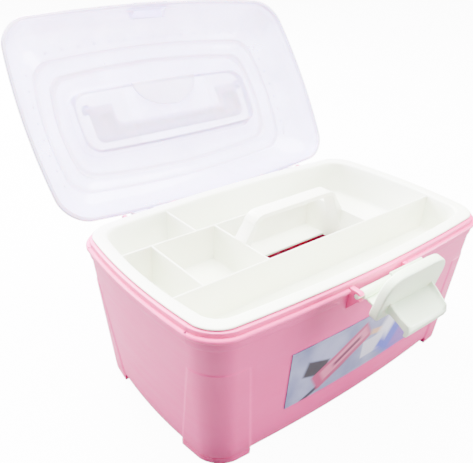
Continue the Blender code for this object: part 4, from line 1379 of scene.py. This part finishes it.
@dataclass
class Latch:
    """The pale green latch, modelled upright from its pin: a dished plate, a hook, a web, a barrel and a tab."""

    finish: MouldedPolypropylene
    half_width: float = 36
    below: float = 6
    above: float = 35
    corner: float = 18
    back: float = 15
    depth: float = 8
    wall: float = 2
    barrel_radius: float = 4.2
    barrel_half: float = 29.2
    pin_radius: float = 2.2
    pin_half: float = 34.8
    web_half: float = 25
    hook_half: float = 19
    hook_tip: float = 4
    hook_thick: float = 2.2
    hook_low: float = 26.7
    shut_degrees: float = 26.5
    rest_degrees: float = 14
    tab_half: float = 27
    tab_taper: float = 0.12
    tab_reach: float = 22
    tab_rim: float = 2.5
    pivot: Vector = field(default_factory=lambda: pivot_of("latch_pivot"))

    def plate_outline(self, shrink: float) -> list[Flat]:
        """The plate from the front: nearly square below, round above."""
        half, low, high = self.half_width - shrink, -self.below + shrink, self.above - shrink
        corners = [(half, low), (half, high), (-half, high), (-half, low)]
        big = (self.corner - shrink) * 1.15
        return rounded(corners, (4, big, big, 4), 10)

    def tab_section(self, rise: float) -> list[Flat]:
        """The tab from the side, as a closed outline; rise lifts its upper face."""
        face = -(self.back + self.depth)
        tip = face - self.tab_reach
        corners = [
            (face + 1, 7.5 + rise), (face - 5, 5.4 + rise), (face - 12, 2.6 + rise), (tip + 2.4, 0.4 + rise),
            (tip, -2.4), (tip + 0.6, -7.9), (tip + 3.2, -7.9), (tip + 3.4, -3.6), (face - 12, -0.4), (face - 4, 1.8),
            (face + 1, 0.4),
        ]
        return rounded(corners, (0.2, 3, 4, 2.2, 2, 1.0, 1.0, 1.4, 4, 3, 0.2), 4)

    def tab(self) -> bpy.types.Object:
        """The scooped finger tab, with a raised rim along each side and narrower at its tip."""
        face = -(self.back + self.depth)
        half = self.tab_half
        stations = [
            (half, self.tab_rim - 0.9), (half - 0.25, self.tab_rim - 0.3), (half - 0.9, self.tab_rim),
            (half - 1.9, self.tab_rim), (half - 2.8, self.tab_rim * 0.62), (half - 4.2, self.tab_rim * 0.2),
            (half - 6.5, 0.0),
        ]
        whole = [(-x, rise) for x, rise in stations] + [(0.0, -0.5)] + [(x, rise) for x, rise in reversed(stations)]
        rings = []
        for x, rise in whole:
            ring = []
            for y, z in self.tab_section(rise):
                share = min(max((face - y) / self.tab_reach, 0.0), 1.0)
                narrow = 1 - self.tab_taper * share**2.2
                ring.append((x * narrow, y, z))
            rings.append(np.array(ring))
        return loft("tab", rings)

    def build(self) -> bpy.types.Object:
        """Makes the latch."""
        back, face = -self.back, -self.back - self.depth
        latch = prism("latch", self.plate_outline(0), face, back, "Y", 1.5, 4)
        pocket = prism("pocket", self.plate_outline(self.wall), face + self.wall, back + 4, "Y", 0.8)
        combine(latch, [pocket], Join.CUT)
        low = -self.barrel_radius
        web_points = [(0, low), (0, low + self.wall), (back - 1, self.wall - self.below), (back - 1, -self.below)]
        web = prism("web", web_points, -self.web_half, self.web_half, "X", 0.4)
        turn = math.radians(self.shut_degrees)
        hook_high, hook_back = self.hook_low + self.hook_thick, -11.0
        shut = [
            (self.hook_tip, self.hook_low), (self.hook_tip, hook_high), (hook_back, hook_high),
            (hook_back, self.hook_low),
        ]
        upright = [(y * math.cos(turn) - z * math.sin(turn), y * math.sin(turn) + z * math.cos(turn)) for y, z in shut]
        hook = prism("hook", rounded(upright, 0.9), -self.hook_half, self.hook_half, "X", 0.5)
        barrel = rod("barrel", self.barrel_radius, -self.barrel_half, self.barrel_half, (0, 0), 0.5)
        pin = rod("pin", self.pin_radius, -self.pin_half, self.pin_half, (0, 0), 0.4)
        combine(latch, [web, hook, self.tab(), barrel, pin], Join.UNION)
        tilt = Matrix.Translation(self.pivot) @ Matrix.Rotation(math.radians(self.rest_degrees), 4, "X")
        return place_piece(latch, tilt, self.finish.build(), "latch", "latch")


@dataclass
class FrontLabel:
    """The printed film on the tub's front, which keeps its CAD shape and gets its print."""

    node: str = "front_label"

    def build(self) -> bpy.types.Object:
        """Dresses the label."""
        low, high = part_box(self.node)
        middle, half = (low + high) / 2, (high - low) / 2
        film = PrintedFilm("printed_film", "#767ba6", "#9a9cc0", (middle.x, middle.z), (half.x, half.z))
        label = frame["nodes"][self.node]
        label.data.materials.clear()
        label.data.materials.append(film.build())
        LOG.info("%s: dressed", label.name)
        return label


# ---------------------------------------------------------------------------------------------------- studio


@dataclass(frozen=True)
class SoftLight:
    """A large soft lamp that faces the box."""

    name: str
    place: Sequence[float]
    size: float
    power: float
    colour: str = "#ffffff"

    def build(self, target: Vector) -> None:
        """Makes the lamp.

        Args:
            target: What it faces.
        """
        data = bpy.data.lights.new(self.name, "AREA")
        data.shape, data.size, data.energy, data.color = "DISK", self.size, self.power, linear(self.colour)[:3]
        lamp = bpy.data.objects.new(self.name, data)
        lamp.location = self.place
        lamp.rotation_euler = (target - Vector(self.place)).to_track_quat("-Z", "Y").to_euler()
        bpy.context.scene.collection.objects.link(lamp)


@dataclass
class Studio:
    """A plain white table under soft light, and the camera."""

    eye_mm: Sequence[float] = (-338.45, -336.14, 380.10)
    turn_degrees: Sequence[float] = (62.118, -1.279, -38.485)
    lens: float = 43.88
    floor_size: float = 12.0
    floor_glow: float = 12.0
    sky: float = 0.1
    sky_seen: float = 9.0

    @staticmethod
    def seen_glow(tree: bpy.types.NodeTree, cast: float, seen: float) -> Socket:
        """A strength that differs between the light a surface casts and how bright it looks by itself.

        Args:
            tree: The node tree.
            cast: The strength for the light that falls on the box.
            seen: The strength when looked at, also through clear plastic.

        Returns:
            The strength.
        """
        ray = add(tree, "ShaderNodeLightPath")
        direct = add(
            tree, "ShaderNodeMath", {"operation": "MAXIMUM"},
            {0: ray.outputs["Is Camera Ray"], 1: ray.outputs["Is Transmission Ray"]},
        )
        settings = {"To Min": cast, "To Max": seen}
        return add(tree, "ShaderNodeMapRange", settings, {"Value": direct.outputs[0]}).outputs["Result"]

    def floor(self) -> None:
        """The table: a matt white sheet that glows a little, as a lit light table does."""
        bm = bmesh.new()
        bmesh.ops.create_grid(bm, x_segments=1, y_segments=1, size=self.floor_size / 2)
        obj = new_object("table", bm)
        paper = Plastic("white_paper")
        tone = paper.mix(paper.between(paper.noise(400, 2.0), 0.4, 0.6, 0, 1), linear("#848484"), linear("#7e7e7e"))
        glow = self.seen_glow(paper.tree, 0, self.floor_glow)
        shader = add(
            paper.tree, "ShaderNodeBsdfPrincipled", {"Roughness": 0.9, "Emission Color": (1, 1, 1, 1)},
            {"Base Color": tone, "Emission Strength": glow},
        )
        obj.data.materials.append(paper.close(shader.outputs[0]))

    def lights(self) -> None:
        """Two low windows left and right, a broad ceiling light, a strong window behind, and a bright even sky."""
        target = TO_FRAME @ Vector((0, 0, 110))
        for lamp in (
            SoftLight("left_window", (-1.15, 1.15, 0.55), 0.8, 70),
            SoftLight("right_window", (1.45, -1.2, 0.5), 0.9, 90),
            SoftLight("ceiling", (0.1, 0.1, 1.7), 1.7, 255),
            SoftLight("back_window", (0.0, 1.8, 1.2), 1.2, 330),
        ):
            lamp.build(target)
        world = bpy.data.worlds.new("white_room")
        bpy.context.scene.world = world
        world.use_nodes = True
        world.node_tree.nodes.clear()
        strength = self.seen_glow(world.node_tree, self.sky, self.sky_seen)
        white = add(world.node_tree, "ShaderNodeBackground", {"Color": (1, 1, 1, 1)}, {"Strength": strength})
        add(world.node_tree, "ShaderNodeOutputWorld", {}, {"Surface": white.outputs[0]})

    def camera(self) -> None:
        """The camera, at the height and turn that the box is seen from."""
        data = bpy.data.cameras.new("camera")
        data.lens = self.lens
        data.clip_start, data.clip_end = 0.01, 50
        eye = bpy.data.objects.new("camera", data)
        eye.location = TO_FRAME @ Vector(self.eye_mm)
        eye.rotation_euler = [math.radians(angle) for angle in self.turn_degrees]
        bpy.context.scene.collection.objects.link(eye)
        bpy.context.scene.camera = eye

    def build(self) -> None:
        """Makes the table, the lights and the camera."""
        self.camera()
        self.floor()
        self.lights()


def main() -> None:
    """Builds the box piece by piece."""
    logging.basicConfig(level=logging.INFO, format="%(name)s %(message)s")
    Studio().build()
    copies = CopyTree()
    pink = MouldedPolypropylene("pink_polypropylene", "#ee4e98", "#ea4690")
    white = MouldedPolypropylene("white_polypropylene", "#f8fbec", "#f4f8e4", roughness=0.42)
    mint = MouldedPolypropylene("pale_green_polypropylene", "#e8f6de", "#e0f1d4", roughness=0.36)
    cream = MouldedPolypropylene("cream_polypropylene", "#fbf6dc", "#f6efce", roughness=0.4, glow=0.85, glow_mm=14.0)
    clear = ClearPolypropylene("clear_polypropylene", "#c3bfdd", "#e3dcf2")
    Tub(pink).build()
    Tray(white).build()
    lid = Lid(clear, copies)
    lid.build()
    CarryHandle(cream, lid).build()
    Latch(mint).build()
    FrontLabel().build()


if __name__ == "__main__":
    main()
